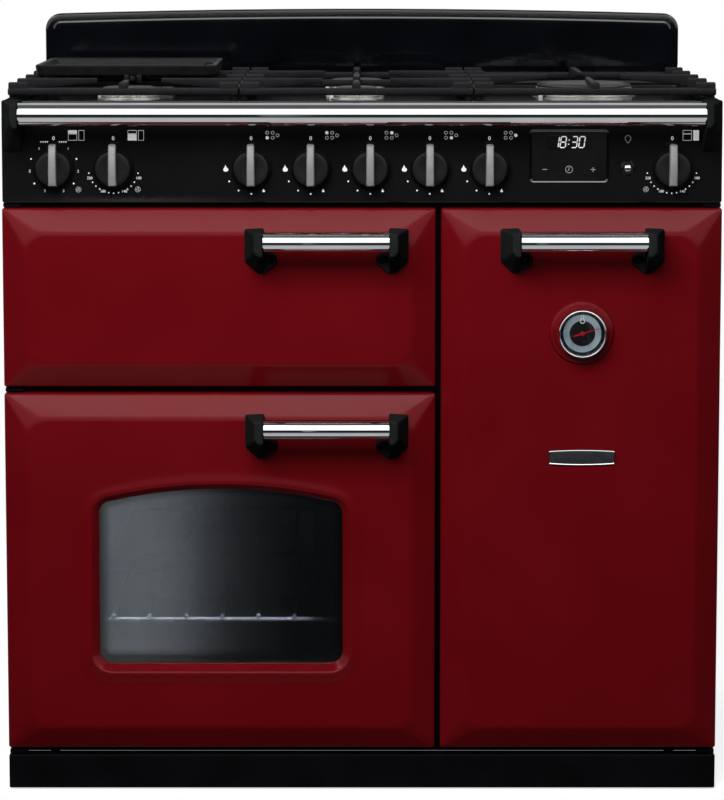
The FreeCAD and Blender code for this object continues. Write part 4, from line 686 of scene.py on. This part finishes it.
def burnerSign(x, z, filled):
    # one ring for each burner seen from above, the knob's own filled in
    r = marks["burnerR"]
    for n, (dx, dz) in enumerate(((20.0, 37.8), (20.0, 44.0), (26.7, 44.0), (26.7, 37.8), (32.7, 40.8)), 1):
        spot = (x + dx, z + dz)
        ink.append(disc(r, spot, *inkAt) if n == filled else ringBand(r, r - 0.38, spot, *inkAt, 24))


def fanSign(x, z):
    # three blades in a ring
    inkGrey.append(ringBand(3.5, 2.9, (x, z), *inkAt, 24))
    for turn in np.radians((20, 140, 260)):
        inkGrey.append(disc(1.0, (x + 1.5 * math.sin(turn), z + 1.5 * math.cos(turn)), *inkAt, 10))


def elementSign(x, z, filled):
    # a row of four heat marks, pointing down; only the last ones are filled in
    for n in range(4):
        left = x + (n - 2) * 2.65
        outer = np.array([(left, z + 1), (left + 1.2, z - 1.2), (left + 2.4, z + 1)])
        inner = outer.mean(0) + (outer - outer.mean(0)) * 0.45
        ink.append(prism(outer, *inkAt) if n >= 4 - filled else hollow(outer, inner, *inkAt))


def dots(x, z, places, radius):
    for dx, dz in places:
        ink.append(disc(radius, (x + dx, z + dz), *inkAt, 14))


def numbers(x, z, places, side=1):
    for text, (dx, dz) in places.items():
        write(text, x + side * dx, z + dz, marks["small"])


dialMarks = {
    "grill": {"dots": [(28.2, 11.5), (24.4, -19.1)],
              "numbers": {"1": (18, 24.4), "2": (30, -3.6), "3": (11.7, -28.2)}},
    "oven": {"dots": [(30.5, -6.2), (25.9, -17.5), (21.9, -22.3), (17.3, -26), (6.1, -30.5)],
             "numbers": {"100": (31.6, -12.2), "140": (13.7, -28.7), "180": (-12.6, -28.7),
                         "220": (-29.5, -12.2)}},
    "gas": {"dots": [(-27.3, -16.4), (-15.8, -27.8), (0, -32)]},
}
for node, (x, z) in knobSpots.items():
    write("0", x, z + 37.2, marks["digit"], marks["bold"])
    if node.startswith("gas"):
        flame(x - 31.6, z, 8.8)
        flame(x + 15.4, z - 27.7, 4.6)
        dots(x, z, dialMarks["gas"]["dots"], marks["dotR"])
        burnerSign(x, z, int(node[-1]))
        continue
    main, scale = node.startswith("main"), dialMarks["grill" if node == "grill_knob" else "oven"]
    for side in (-1, 1):
        mirrored = [(side * dx, dz) for dx, dz in scale["dots"]]
        dots(x, z, mirrored, marks["dotR"] if node == "grill_knob" else marks["tickR"])
    if node == "grill_knob":
        for side, filled in ((-1, 2), (1, 4)):
            elementSign(x + side * 11.5, z + 32.4, filled)
            numbers(x, z, scale["numbers"], side)
        fanSign(x + 30.3, z - 26.6)
        cookerSign(x + 18.1, z + 34.4, "grill")
    else:
        dots(x, z, [(0, -31.3)], marks["tickR"])
        numbers(x, z, scale["numbers"])
        fanSign(x + (30 if main else -32), z - 26.3)
        cookerSign(x + (18.1 if main else 13.0), z + 34.4, "main" if main else "tall")

# a light bulb over the button
buttonX, buttonY, buttonZ = spans("light_button")
button = (mid(buttonX), 0, mid(buttonZ))
bulbAt = (button[0], button[2] + 37)
bulbTurn = np.radians((-60, 240))
bulb = [np.concatenate([arc((0, 0), r, *bulbTurn, 26), [(-neck, low), (neck, low)]]) + bulbAt
        for r, neck, low in ((3.9, 1.5, -5.6), (3.3, 1.0, -5.1))]
inkGrey.append(hollow(*bulb, *inkAt))
addPiece("panelSigns", "cooker", [whiteInk], ink)
addPiece("panelGreySigns", "cooker", [greyInk], inkGrey)
addPiece("panelNumbers", "cooker", [whiteInk], lettering)
print("panel marked")

# clock, light button

clock = {"x": 256.97, "z": 807.3, "wide": 98.0, "high": 66.0, "corner": 5.0, "digitHigh": 13.5, "digitWide": 6.6,
         "slant": 0.14, "digitsUp": 17.5, "keysDown": 16.5, "keyApart": 30.0}
cx, cz, digitZ, keyZ = clock["x"], clock["z"], clock["z"] + clock["digitsUp"], clock["z"] - clock["keysDown"]
clockX, clockZ = about(cx, clock["wide"] / 2), about(cz, clock["high"] / 2)
rimRun = eased([(-0.4, 0.2), (-0.2, -1.4), (0.5, -1.45), (2.9, -0.15), (2.9, 0.2)], (0.3, 0.3, 0.3), 4, panelFace)
faceRun = [(2.4, panelFace + 0.3), (2.4, panelFace - 0.1), (6, panelFace - 0.1)]
paneRun = [(0, panelFace + 0.2), (0, panelFace - 0.15), (1, panelFace - 0.2)]
addPiece("clockBezel", "cooker", [clockWindow, clockFace, displayPane],
         [tray(clockX, clockZ, rimRun, lambda i: clock["corner"] - i, wrapRows=True),
          tray(clockX, clockZ, faceRun, lambda i: 3.0, finish=1),
          tray(about(cx, 27.6), (cz + 8.2, cz + 26.2), paneRun, lambda i: 1.2, finish=2)], ["clock_module"])
segmentsLit = {"1": "bc", "8": "abcdefg", "3": "abcdg", "0": "abcdef"}
litAt, keyAt = (panelFace - 0.42, panelFace - 0.15), (panelFace - 0.34, panelFace - 0.15)


def segments(x, z, digit):
    # seven bars with mitred ends, leaned over by x += slant * z
    w, h, s, g = clock["digitWide"] / 2, clock["digitHigh"] / 2, 0.75, 0.28
    bars = {"a": ((-w, h), (w, h)), "b": ((w, 0), (w, h)), "c": ((w, -h), (w, 0)), "d": ((-w, -h), (w, -h)),
            "e": ((-w, -h), (-w, 0)), "f": ((-w, 0), (-w, h)), "g": ((-w, 0), (w, 0))}
    for key in segmentsLit[digit]:
        start, end = np.array(bars[key])
        along = (end - start) / np.linalg.norm(end - start)
        across = s * np.array([-along[1], along[0]])
        near, far = start + (s + g) * along, end - (s + g) * along
        outline = np.array([start + g * along, near - across, far - across, end - g * along, far + across,
                            near + across])
        outline[:, 0] += clock["slant"] * outline[:, 1]
        lit.append(prism(outline + (x, z), *litAt))


lit = []
for digit, shift in (("1", -16.2), ("8", -7.4), ("3", 6.6), ("0", 15.8)):
    segments(cx + shift, digitZ, digit)
for dz in (-2.6, 2.6):
    lit.append(disc(0.85, (cx - 0.4 + clock["slant"] * dz, digitZ + dz), *litAt, 12))
addPiece("clockDigits", "cooker", [litSegments], lit)
# touch keys: minus, plus and a small clock face with two hands
minusX, plusX = about(cx, clock["keyApart"])
keyShapes = [corners(*about(x, 2.9), *about(keyZ, 0.4)) for x in (minusX, plusX)]
keyShapes.append(corners(*about(plusX, 0.4), *about(keyZ, 2.9)))
keyShapes.append(corners(cx - 0.3, cx + 0.4, keyZ - 0.2, keyZ + 2.8))
keyShapes.append(np.array([(-2.0, -1.6), (-1.4, -2.0), (0.3, -0.2), (-0.3, 0.2)]) + (cx, keyZ))
addPiece("clockKeys", "cooker", [greyInk],
         [prism(outline, *keyAt) for outline in keyShapes] + [ringBand(4.6, 3.9, (cx, keyZ), *keyAt)])

collarRun = eased([(5.3, 0.2), (5.3, -1.6), (6.4, -2.6), (9.3, -1.0), (9.6, 0.2)], (0.4, 0.6, 0.4), 5, panelFace)
addPiece("lightBezel", "cooker", [clockFace], [turned(collarRun, button, 48, wrapRows=True)])
buttonRun = eased([(0, buttonY[1]), (4.9, buttonY[1]), (4.9, buttonY[0] + 2.4), (3.6, buttonY[0] + 0.6),
                   (0, buttonY[0] + 0.1)], (0.2, 0.9, 1.6), 8)
addPiece("lightButton", "light_button", [polishedChrome], [turned(buttonRun, button, 40)],
         ["light_button"])
print("clock and light button made")

# hob and upstand

hob = {"drawn": 3.0, "wellDepth": 5.0, "wellRear": 205.0, "edgeRound": 3.0}
hobX, hobY, (hobUnder, hobTop) = spans("hob_tray")
hobX = (hobX[0] + hob["drawn"], hobX[1] - hob["drawn"])
wellZ = hobTop - hob["wellDepth"]


def hobRing(inset, rearY, radius):
    return rectOutline((hobX[0] + inset, hobX[1] - inset), (hobY[0] + inset, rearY), radius, 14, 8)


outer = eased([(14, hobUnder + 6), (3, hobUnder + 6), (2.2, hobUnder), (0, hobUnder), (0, hobTop), (5.5, hobTop)],
              (1, 1, 1, hob["edgeRound"]))
well = eased([(5.5, hobTop), (9, hobTop), (12, wellZ), (40, wellZ)], (1.6, 2.6))[1:]
hobRings = [(hobRing(i, hobY[1] - i, 5.0), z) for i, z in outer]
hobRings += [(hobRing(i, hob["wellRear"] - (i - 9), 9.0), z) for i, z in well]
addPiece("hobPressing", "cooker", [hobEnamel], [stacked(hobRings, "xy")], ["hob_tray"])

upstand = {"rise": 7.0, "corner": 22.0, "rim": 11.0, "slope": 2.2, "proud": 1.05, "deepest": 20.0, "foot": 24.0}
upX, (upFront, upBack), upZ = spans("upstand")
rimY = upFront + upstand["proud"]
upRun = eased([(40, upBack), (0, upBack), (0, rimY), (upstand["rim"], rimY),
               (upstand["rim"] + upstand["slope"], upFront), (40, upFront)], (2.5, 5.0, 0.4, 0.4), 8)


def upstandRing(inset):
    # drawn in all round, then its foot stretched back down to the hob
    inset, foot = min(inset, upstand["deepest"]), upstand["foot"]
    ring = archOutline(upX, upZ, upstand["rise"], upstand["corner"], -inset)
    rise = ring[:, 1] - ring[:, 1].min()
    ring[:, 1] = np.where(ring[:, 1] < upZ[0] + foot, upZ[0] + rise * foot / (foot - inset), ring[:, 1])
    return ring


addPiece("rearUpstand", "cooker", [hobEnamel], [lofted(upRun, upstandRing)], ["upstand"])

# burners: head with flame slots, enamelled cap, ceramic igniter; x, y and radius of each
burners = ((-296.99, -134.0, 36.0), (-296.99, 74.0, 45.0), (-7.0, 74.0, 36.0), (-7.0, -134.0, 28.0),
           (289.98, -30.0, 62.0))
largeBurner = 50.0
heads, caps, tips = [], [], []
for x, y, r in burners:
    # collar on the well, then the crown: radius pinched at every flame slot by 1.8 |sin(n a / 2)|^8
    profile = eased([(0, -0.5), (r + 5, -0.5), (r + 5, 1.6), (r + 1, 2.4), (r + 1, 5), (r + 0.4, 11), (r - 3, 12),
                     (0, 12)], (0.2, 0.8, 1.0, 0.6, 0.6, 0.8), 5, wellZ)
    head = turned(profile, (0, 0, 0), 144, "z")
    slots = int(r * 0.9) // 2 * 2
    pinch = 1.8 * np.abs(np.sin(slots * np.linspace(0, 2 * math.pi, 144, endpoint=False) / 2)) ** 8
    inBand = (profile[:, 1] > wellZ + 5.2) & (profile[:, 1] < wellZ + 10.8) & (profile[:, 0] > r - 1)
    head["points"][..., :2] -= inBand[:, None, None] * pinch[:, None] * circle(1, 144)
    head["points"] += (x, y, 0)
    heads.append(head)
    cap = eased([(0, 12), (r - 1, 12), (r - 1, 14.2), (r - 5, 16.6), (0, 17)], (0.4, 1.6, 3.0), base=wellZ)
    caps.append(turned(cap, (x, y, 0), 96, "z"))
    tip = eased([(0, -0.5), (3.2, -0.5), (3.2, 7), (2.2, 8), (2.0, 10.4), (0, 11.4)],
                (0.2, 0.6, 0.4, 0.9), 4, wellZ)
    for turn in np.radians((35, 215) if r > largeBurner else (150,)):
        tips.append(turned(tip, (x + (r + 9) * math.cos(turn), y + (r + 9) * math.sin(turn), 0), 20, "z"))
addPiece("burnerCrowns", "cooker", [castAlloy], heads, ["burner_heads"], sharpDeg=50)
addPiece("burnerLids", "cooker", [capEnamel], caps, ["burner_caps"])
addPiece("igniterTips", "cooker", [ceramic], tips)
print("hob and burners made")

# pan supports and griddle

support = {"low": 882.0, "bar": 891.0, "top": 898.0, "barWide": 10.0, "nub": 24.0, "endNub": 14.0,
           "finger": 102.0, "tip": 6.0, "rows": (-238.0, -134.0, -30.0, 74.0, 178.0), "middle": 57.6}


def panSupport(name, node, longRows, endLength, middle):
    (x0, x1), (y0, y1), z = spans(node)
    s, low, high, wide, rows = support, support["low"], support["top"], support["barWide"], support["rows"]
    column, half = (x0 + x1) / 2, wide / 2
    bar = lambda a, b: castBar(a, b, wide, low, s["bar"], 4.5)
    finger = lambda a, b: castBar(a, b, (wide, s["tip"]), (low, high - s["tip"]), high)
    nub = lambda a, b: castBar(a, b, (wide + 1, wide), low, high)
    bars = [bar((x0, y), (x1, y)) for y in (y0 + half, y1 - half)]
    bars += [bar((x, y0), (x, y1)) for x in (x0 + half, x1 - half)]
    for n, y in enumerate(rows):
        for edge, inward in ((x0, 1), (x1, -1)):
            if n in longRows:
                bars.append(finger((edge + inward * 3, y), (edge + inward * s["finger"], y)))
            bars.append(nub((edge, y), (edge + inward * s["nub"], y)))
    for edge, inward in ((y0 + 1, 1), (y1 - 1, -1)):
        bars.append(finger((column, edge + inward * 3), (column, edge + inward * endLength)))
        bars.append(nub((column, edge), (column, edge + inward * s["endNub"])))
    if middle:
        bars.append(bar((x0, rows[2]), (x1, rows[2])))
        bars += [finger((column, rows[2]), (column, rows[2] + way * s["middle"])) for way in (-1, 1)]
    footRun = eased([(0, z[0]), (4.2, z[0]), (4.6, low + 3), (0, low + 3)], (0.8, 0.4), 4)
    bars += [turned(footRun, (x, y, 0), 20, "z") for x in (x0 + half, x1 - half) for y in (y0 + 13, y1 - 13)]
    addPiece(name, node, [castIron], bars, [node], sharpDeg=50)


panSupport("leftPanSupport", "pan_support_left", (1, 3), 72, True)
panSupport("centrePanSupport", "pan_support_centre", (1, 3), 72, True)
panSupport("rightPanSupport", "pan_support_right", (2,), 150, False)

griddle = {"rim": 7.0, "recess": 8.0, "corner": 12.0, "rib": 6.0, "ribRaise": 5.0, "pitch": 18.0, "channel": 14.0,
           "ribs": 10}
gridX, gridY, (gridLow, gridTop) = spans("griddle")
gridBase, gridFloor, margin = support["top"], gridTop - griddle["recess"], griddle["rim"] + griddle["channel"]
gridRun = eased([(24, gridBase), (1.5, gridBase), (0, gridTop), (6.2, gridTop), (griddle["rim"] + 2.5, gridFloor),
                 (24, gridFloor)], (2.0, 2.2, 1.6, 2.5))
plate = [tray(gridX, gridY, gridRun, lambda i: max(griddle["corner"] - 0.3 * i, 5.0), "xy")]
for n in range(griddle["ribs"]):
    y = gridY[0] + margin + griddle["rib"] / 2 + n * griddle["pitch"]
    plate.append(castBar((gridX[0] + margin, y), (gridX[1] - margin, y), griddle["rib"], gridFloor - 2,
                         gridFloor + griddle["ribRaise"], 3.0))
# two lugs that hook over the support's front bar
for x in about(burners[0][0], 8):
    plate.append(castBar((x, gridY[0] + 1), (x, gridY[0] + 11), 7, gridLow, gridBase + 2))
addPiece("griddlePlate", "griddle", [griddleIron], plate, ["griddle"], sharpDeg=50)
print("pan supports and griddle made")

# dial thermometer and bare badge plate

gauge = {"r": 30.0, "bore": 27.5, "paleOut": 23.5, "paleIn": 16.0, "signUp": 15.5}
at, dialY, signZ = (gaugeX, 0, gaugeZ), caseBack - 3.5, gaugeZ + gauge["signUp"]
caseR, bore = gauge["r"], gauge["bore"]
caseRun = eased([(bore, caseBack - 2), (bore, caseFront + 2.2), (28.2, caseFront), (29.4, caseFront + 0.4),
                 (caseR, caseFront + 4), (caseR, caseBack), (bore, caseBack)], (0.4, 0.8, 0.8, 0.8, 0.1))
dialRun = [(0, dialY + 1.5), (bore + 0.1, dialY + 1.5), (bore + 0.1, dialY), (0, dialY)]
dial = [turned(caseRun, at, 96, wrapRows=True), turned(dialRun, at, 96, finish=1),
        ringBand(gauge["paleOut"], gauge["paleIn"], (gaugeX, gaugeZ), dialY - 0.25, dialY + 0.1, 96, 2),
        ringBand(3.2, 2.4, (gaugeX, signZ), dialY - 0.5, dialY + 0.1, 32, 3)]
dial += [prism(corners(*about(x, 0.35), signZ + 2.3, signZ + 7.5), dialY - 0.45, dialY - 0.2, 3)
         for x in about(gaugeX, 1.6)]
addPiece("dialCase", "tall_door", [polishedChrome, dialBlack, dialPale, whiteInk], dial,
         ["gauge_case"])
lens = eased([(0, 1.0), (20, 1.4), (27.45, 2.4), (27.45, 3.2), (20, 2.2), (0, 1.8)],
             (6, 0.2, 0.2, 6), base=caseFront)
addPiece("dialLens", "tall_door", [dialGlass], [turned(lens, at, 72)])

needle = {"angle": 17.0, "tip": 22.0, "tail": 11.5, "hub": 3.0}
needleY = spans("gauge_needle")[1]
c, s = math.cos(math.radians(needle["angle"])), math.sin(math.radians(needle["angle"]))
tail, tip = -needle["tail"], needle["tip"]
edgeLine = np.array([(tail, -1.1), (-2, -1.2), (8, -0.9), (tip - 1, -0.35), (tip, 0)])
bladeLine = np.concatenate([edgeLine, edgeLine[-2::-1] * (1, -1)])
blade = bladeLine @ np.array([(c, s), (-s, c)]) + (gaugeX, gaugeZ)
hub, hubY = needle["hub"], needleY[0]
hubRun = eased([(0, needleY[1]), (1.4, needleY[1]), (1.4, hubY + 2), (hub, hubY + 1.9), (hub, hubY + 0.6),
                (0, hubY + 0.1)], (0.1, 0.1, 0.1, 1.0), 5)
addPiece("dialNeedle", "gauge_needle", [needleLacquer],
         [prism(blade, hubY + 1.0, hubY + 1.7), turned(hubRun, at, 40)], ["gauge_needle"])

badge = {"x": 274.5, "z": 431.5, "wide": 83.0, "high": 17.0, "bow": 1.4, "proud": 3.0}


def badgeOutline(grow):
    # a long rectangle whose upper and lower sides swell by bow * (1 - u^2)
    halfX, halfZ = badge["wide"] / 2 + grow, badge["high"] / 2 + grow
    ring = rectOutline(about(badge["x"], halfX), about(badge["z"], halfZ), max(0.4, 1.6 + grow), 14, 6)
    u = (ring[:, 0] - badge["x"]) / halfX
    ring[:, 1] += np.sign(ring[:, 1] - badge["z"]) * badge["bow"] * np.clip(1 - u ** 2, 0, 1)
    return ring


front, foot = plateauY - badge["proud"], plateauY + 0.2
badgeRun = [(0.0, foot), (0.0, front + 1.0), (-0.5, front + 0.2), (-1.1, front), (-1.7, front + 0.3),
            (-2.0, front + 0.8), (-2.0, foot)]
fieldRun = [(-1.9, foot), (-1.9, front + 0.8), (-3.2, front + 0.7)]
addPiece("barePlate", "tall_door", [polishedChrome, badgeField],
         [lofted(badgeRun, badgeOutline, wrapRows=True), lofted(fieldRun, badgeOutline, finish=1)])
print("thermometer and plate made")

# plinth and back panel details

plinthX, plinthY, plinthZ = spans("plinth")
plinthFace, plinthBack = plinthY[0], plinthY[0] + 22
plinthRun = eased([(6, plinthFace + 1.5), (1.5, plinthFace + 1.5), (1.5, plinthBack), (0, plinthBack),
                   (0, plinthFace), (8, plinthFace)], (0.6, 0, 0, 1.6), 5)
addPiece("plinthFront", "cooker", [satinBlack], [tray(plinthX, plinthZ, plinthRun, lambda i: 1.7)],
         ["plinth"])

louvre = {"columns": 9, "rows": 4, "wide": 58.0, "high": 9.0, "out": 6.0, "pitchX": 74.0, "pitchZ": 22.0,
          "z": 610.0}
backX, backY, backZ = spans("back_panel")
sheetY = backY[1]
# half a flattened ball: x = w cos t cos u, z = h cos t sin u, y = d sin t, closed behind by a point
t, u = np.meshgrid(np.linspace(0, math.pi / 2, 6), np.linspace(0, 2 * math.pi, 20, endpoint=False), indexing="ij")
dome = np.stack([louvre["wide"] / 2 * np.cos(t) * np.cos(u), louvre["out"] * np.sin(t),
                 louvre["high"] / 2 * np.cos(t) * np.sin(u)], -1)
dome = np.concatenate([0 * dome[:1], dome])
details = []
for i in range(louvre["columns"]):
    x = (i - (louvre["columns"] - 1) / 2) * louvre["pitchX"]
    for k in range(louvre["rows"]):
        details.append(patch(dome + (x, sheetY - 0.3, louvre["z"] - k * louvre["pitchZ"]), caps=False))
screwRun = eased([(0, -0.4), (5, -0.4), (5, 1.0), (3.6, 1.4), (3.4, 3.4), (0, 3.8)],
                 (0.2, 0.5, 0.3, 0.8), 4, sheetY)
for x in np.linspace(backX[0] + 14, backX[1] - 14, 6):
    details += [turned(screwRun, (x, 0, z), 12, finish=1) for z in (backZ[0] + 12, backZ[1] - 14)]
addPiece("backLouvres", "cooker", [zincSteel, plainSteel], details)
print("plinth and back details made")

# wire shelves: a rounded frame with cross wires lying on it, their ends standing out in front

shelf = {"wireR": 3.0, "rodR": 2.2, "corner": 14.0, "pitch": 46.0, "over": 2.0, "mainRight": 27.0,
         "tallLeft": 153.25}
wireR, rodR = shelf["wireR"], shelf["rodR"]
shelfX, shelfY = spans("oven_shelves")[:2]
shelfY = (shelfY[0] + wireR, shelfY[1] - wireR)
# x span, levels and number of cross wires in the main and the tall oven
shelfSets = (((shelfX[0] + wireR, shelf["mainRight"]), (214.0, 297.0), 9),
             ((shelf["tallLeft"], shelfX[1] - wireR), (250.0, 390.0, 530.0), 5))


def wireLoop(outline, z, radius, finish, sides=12):
    # circles of this radius carried round a closed line in plan
    ahead = np.roll(outline, -1, 0) - np.roll(outline, 1, 0)
    across = np.stack([ahead[:, 1], -ahead[:, 0]], -1) / np.linalg.norm(ahead, axis=1)[:, None]
    out, up = circle(radius, sides).T
    plan = outline[:, None] + out[:, None] * across[:, None]
    return patch(np.dstack([plan, z + up + 0 * plan[..., 0]]), wrapRows=True, finish=finish)


rodStart, rodEnd = shelfY[0] - shelf["over"] - wireR, shelfY[1] + shelf["over"]
rodRun = eased([(0, rodStart + 4), (rodR, rodStart + 4), (rodR, rodEnd), (0, rodEnd)], (0, 1.6), 5)
tipRun = eased([(0, rodStart), (rodR + 0.7, rodStart), (rodR + 0.7, rodStart + 6), (0, rodStart + 6)], (2.4, 0.6))
wires = []
for x, levels, count in shelfSets:
    for z in levels:
        # only the lowest shelf's frame and rod tips are bright nickel; the upper shelves and every cross wire
        # take the dark finish as painted shade
        paintedShadeFinish = 0 if z == min(levels) else 1
        wires.append(wireLoop(rectOutline(x, shelfY, shelf["corner"], 8, 6), z, wireR, paintedShadeFinish))
        for n in range(count):
            rodAt = (mid(x) + (n - (count - 1) / 2) * shelf["pitch"], 0, z + wireR + rodR - 0.5)
            wires += [turned(rodRun, rodAt, 12, finish=1), turned(tipRun, rodAt, 12, finish=paintedShadeFinish)]
addPiece("ovenShelfWires", "cooker", [nickelWire, heatedSteelAndShade], wires, ["oven_shelves"])

# finishes of the nodes that stay as they are

kept = {
    satinBlack: ["hinge_brackets", "front_frame"],
    sideCoat: ["side_panels"],
    zincSteel: ["back_panel", "base_tray"],
    ovenEnamel: ["grill_liner", "main_oven_liner", "tall_oven_liner", "grill_pan"],
    bracketPlastic: ["levelling_feet", "oven_controls"],
    sealRubber: ["door_seals"],
    plainSteel: ["oven_fan_units", "main_oven_fan", "tall_oven_fan"] + [f"gas_spindle_{n}" for n in range(1, 6)],
    heatedSteelAndShade: ["heating_elements"],
    gasBrass: ["gas_manifold"],
}
for finish, names in kept.items():
    for name in names:
        nodes[name].data.materials.clear()
        nodes[name].data.materials.append(finish)
print("kept nodes finished")

# floor, light and camera

studio = {"floorFront": 0.27, "feltFront": 0.47, "feltSide": 1.0, "floorSide": 3.5, "floorRear": 3.5,
          "floorLift": 0.75, "keyWatts": 47.0, "shelfLampWatts": 0.3, "roomFront": 0.06, "roomRear": 0.55,
          "bank": 6.2, "card": 0.55, "behind": 0.6}


def stagePlane(name, half, near, far, finish):
    mesh = bpy.data.meshes.new(name)
    mesh.from_pydata([(-half, near, 0), (half, near, 0), (half, far, 0), (-half, far, 0)], [], [(0, 1, 2, 3)])
    mesh.materials.append(finish)
    plane = bpy.data.objects.new(name, mesh)
    link(plane)
    return plane


# paper sweep: diffuse, and lifted to white where it is seen as background, so that it still holds the shadow
paperFinish, tree, coord = newMaterial("matt white studio paper")
shade = clouded(tree, coord, 400, "#e6e6e6", "#ececec", 0.2, 0.8)[1]
seen = add(tree, "LightPath").outputs["Is Camera Ray"]
lift = add(tree, "Math", seen, studio["floorLift"], operation="MULTIPLY")
paper = add(tree, "AddShader", add(tree, "BsdfDiffuse", shade), add(tree, "Emission", Strength=lift))
add(tree, "OutputMaterial", paper)
stagePlane("studioFloor", studio["floorSide"], -studio["floorFront"], studio["floorRear"], paperFinish)
# a strip of felt ahead of the plinth, seen only in gloss, keeps the pale floor out of the lowest bevels
feltFinish = mottled("black felt", "#060606", "#0a0a0a", 60, (0.9, 1.0), 3, 0.1)
felt = stagePlane("studioFelt", studio["feltSide"], -studio["feltFront"], -studio["floorFront"], feltFinish)
felt.visible_camera = felt.visible_diffuse = felt.visible_transmission = felt.visible_shadow = False

world = bpy.data.worlds.new("studio")
bpy.context.scene.world = world
world.use_nodes = True
tree = world.node_tree
tree.nodes.clear()
path = add(tree, "LightPath").outputs
toward = add(tree, "SeparateXYZ", add(tree, "TexCoord").outputs["Generated"]).outputs


def greys(tones, scale):
    return [(place, (*[tone * scale] * 3, 1)) for place, tone in tones]


# what gloss and glass see: white paper behind, a bright ceiling bank in front and above, a dark room at eye
# level, pale floor below, and a card low on the left that shows up in the oven window
tones = ((0.0, 0.58), (0.20, 0.58), (0.29, 0.05), (0.36, 0.02), (0.50, 0.02), (0.54, 1.7), (0.80, 1.7),
         (0.85, 5.7), (0.88, 6.2), (0.905, 6.2), (0.925, 0.13), (1.0, 0.13))
level = add(tree, "MapRange", toward["Z"], -1.0, 1.0)
bank = add(tree, "ValToRGB", level, ramp=greys(tones, 1 / studio["bank"]))
strong = add(tree, "Math", bank, studio["bank"], operation="MULTIPLY")
forward = add(tree, "MapRange", toward["Y"], 0.05, 0.25, 1.0, 0.0)
ahead = add(tree, "Math", strong, forward, operation="MULTIPLY")
# behind: pale paper, except straight back at eye level, where the hob would mirror it
paper = add(tree, "MapRange", toward["Y"], 0.2, 0.5, 0.0, studio["behind"])
apart = add(tree, "MapRange", add(tree, "Math", toward["X"], operation="ABSOLUTE"), 0.13, 0.22)
above = add(tree, "MapRange", toward["Z"], 0.12, 0.25)
clearOf = add(tree, "Math", apart, above, operation="MAXIMUM")
behind = add(tree, "Math", paper, clearOf, operation="MULTIPLY")
# the card fades out to the right, and at its upper and lower edge
cardTones = ((0.0, 0.0), (0.24, 0.0), (0.29, 1.0), (0.44, 1.0), (0.50, 0.83), (0.55, 0.62), (0.576, 0.47),
             (0.60, 0.355), (0.65, 0.19), (0.70, 0.105), (0.80, 0.04), (1.0, 0.0))
cardHigh = ((0.0, 0.0), (0.2, 1.0), (0.8, 1.0), (1.0, 0.0))
across = add(tree, "ValToRGB", add(tree, "MapRange", toward["X"], -0.12, 0.0), ramp=greys(cardTones, 1))
upright = add(tree, "MapRange", toward["Z"], -0.25, -0.155)
updown = add(tree, "ValToRGB", upright, ramp=greys(cardHigh, studio["card"]))
card = add(tree, "Math", across, updown, operation="MULTIPLY")
frontRoom = add(tree, "Math", ahead, card, operation="MAXIMUM")
room = add(tree, "Math", frontRoom, behind, operation="MAXIMUM")
shown = add(tree, "Background", (1, 1, 1, 1), room)
# what lights matt surfaces: little from the front, where the key is, more from behind
fill = add(tree, "MapRange", toward["Y"], -0.05, 0.6, studio["roomFront"], studio["roomRear"])
soft = add(tree, "Background", (1, 1, 1, 1), fill)
white = add(tree, "Background", (1, 1, 1, 1), 1.0)
# the mirrored room is kept from light that has bounced off something matt or gone deep behind both panes
sharp = add(tree, "Math", path["Is Glossy Ray"], path["Is Transmission Ray"], operation="MAXIMUM")
direct = add(tree, "Math", path["Diffuse Depth"], 0.5, operation="LESS_THAN")
shallow = add(tree, "Math", path["Transmission Depth"], 6.5, operation="LESS_THAN")
outdoors = add(tree, "Math", direct, shallow, operation="MULTIPLY")
mirrored = add(tree, "Math", sharp, outdoors, operation="MULTIPLY")
glossy = add(tree, "MixShader", mirrored, soft, shown)
add(tree, "OutputWorld", add(tree, "MixShader", path["Is Camera Ray"], glossy, white))


def softbox(name, place, target, size, watts):
    light = bpy.data.lights.new(name, "AREA")
    light.shape, light.size, light.size_y, light.energy = "RECTANGLE", size[0], size[1], watts
    lamp = bpy.data.objects.new(name, light)
    lamp.location = place
    lamp.rotation_euler = (Vector(target) - Vector(place)).to_track_quat("-Z", "Y").to_euler()
    link(lamp)
    return lamp


# the key lights what is matt; gloss sees the ceiling bank instead
key = softbox("frontSoftbox", (-0.42, -1.97, 1.90), (0.0, -0.26, 0.45), (1.5, 1.15), studio["keyWatts"])
key.visible_glossy = False
# a small lamp over the front of the lower shelf
shelfLamp = softbox("shelfLamp", (-0.23, -0.2365, 0.262), (-0.23, -0.222, 0.216), (0.30, 0.006),
                    studio["shelfLampWatts"])
shelfLamp.visible_camera = shelfLamp.visible_transmission = False
shelfLamp.data.spread = math.radians(50)

camera = {"distance": 4000.0, "height": 1094.5, "pitchDeg": 6.73, "focalPixels": 3228.0, "shiftY": -0.12,
          "frameHigh": 800, "sensorMm": 36.0}
lensData = bpy.data.cameras.new("studioCamera")
lensData.sensor_width = camera["sensorMm"]
lensData.lens = camera["focalPixels"] / camera["frameHigh"] * camera["sensorMm"]
lensData.shift_y = camera["shiftY"]
eye = bpy.data.objects.new("studioCamera", lensData)
eye.location = (0.0, (edgeY - camera["distance"]) / 1000, camera["height"] / 1000)
eye.rotation_euler = (math.radians(90 - camera["pitchDeg"]), 0.0, 0.0)
link(eye)
bpy.context.scene.camera = eye
bpy.context.scene.view_settings.view_transform = "Standard"
print("studio set")
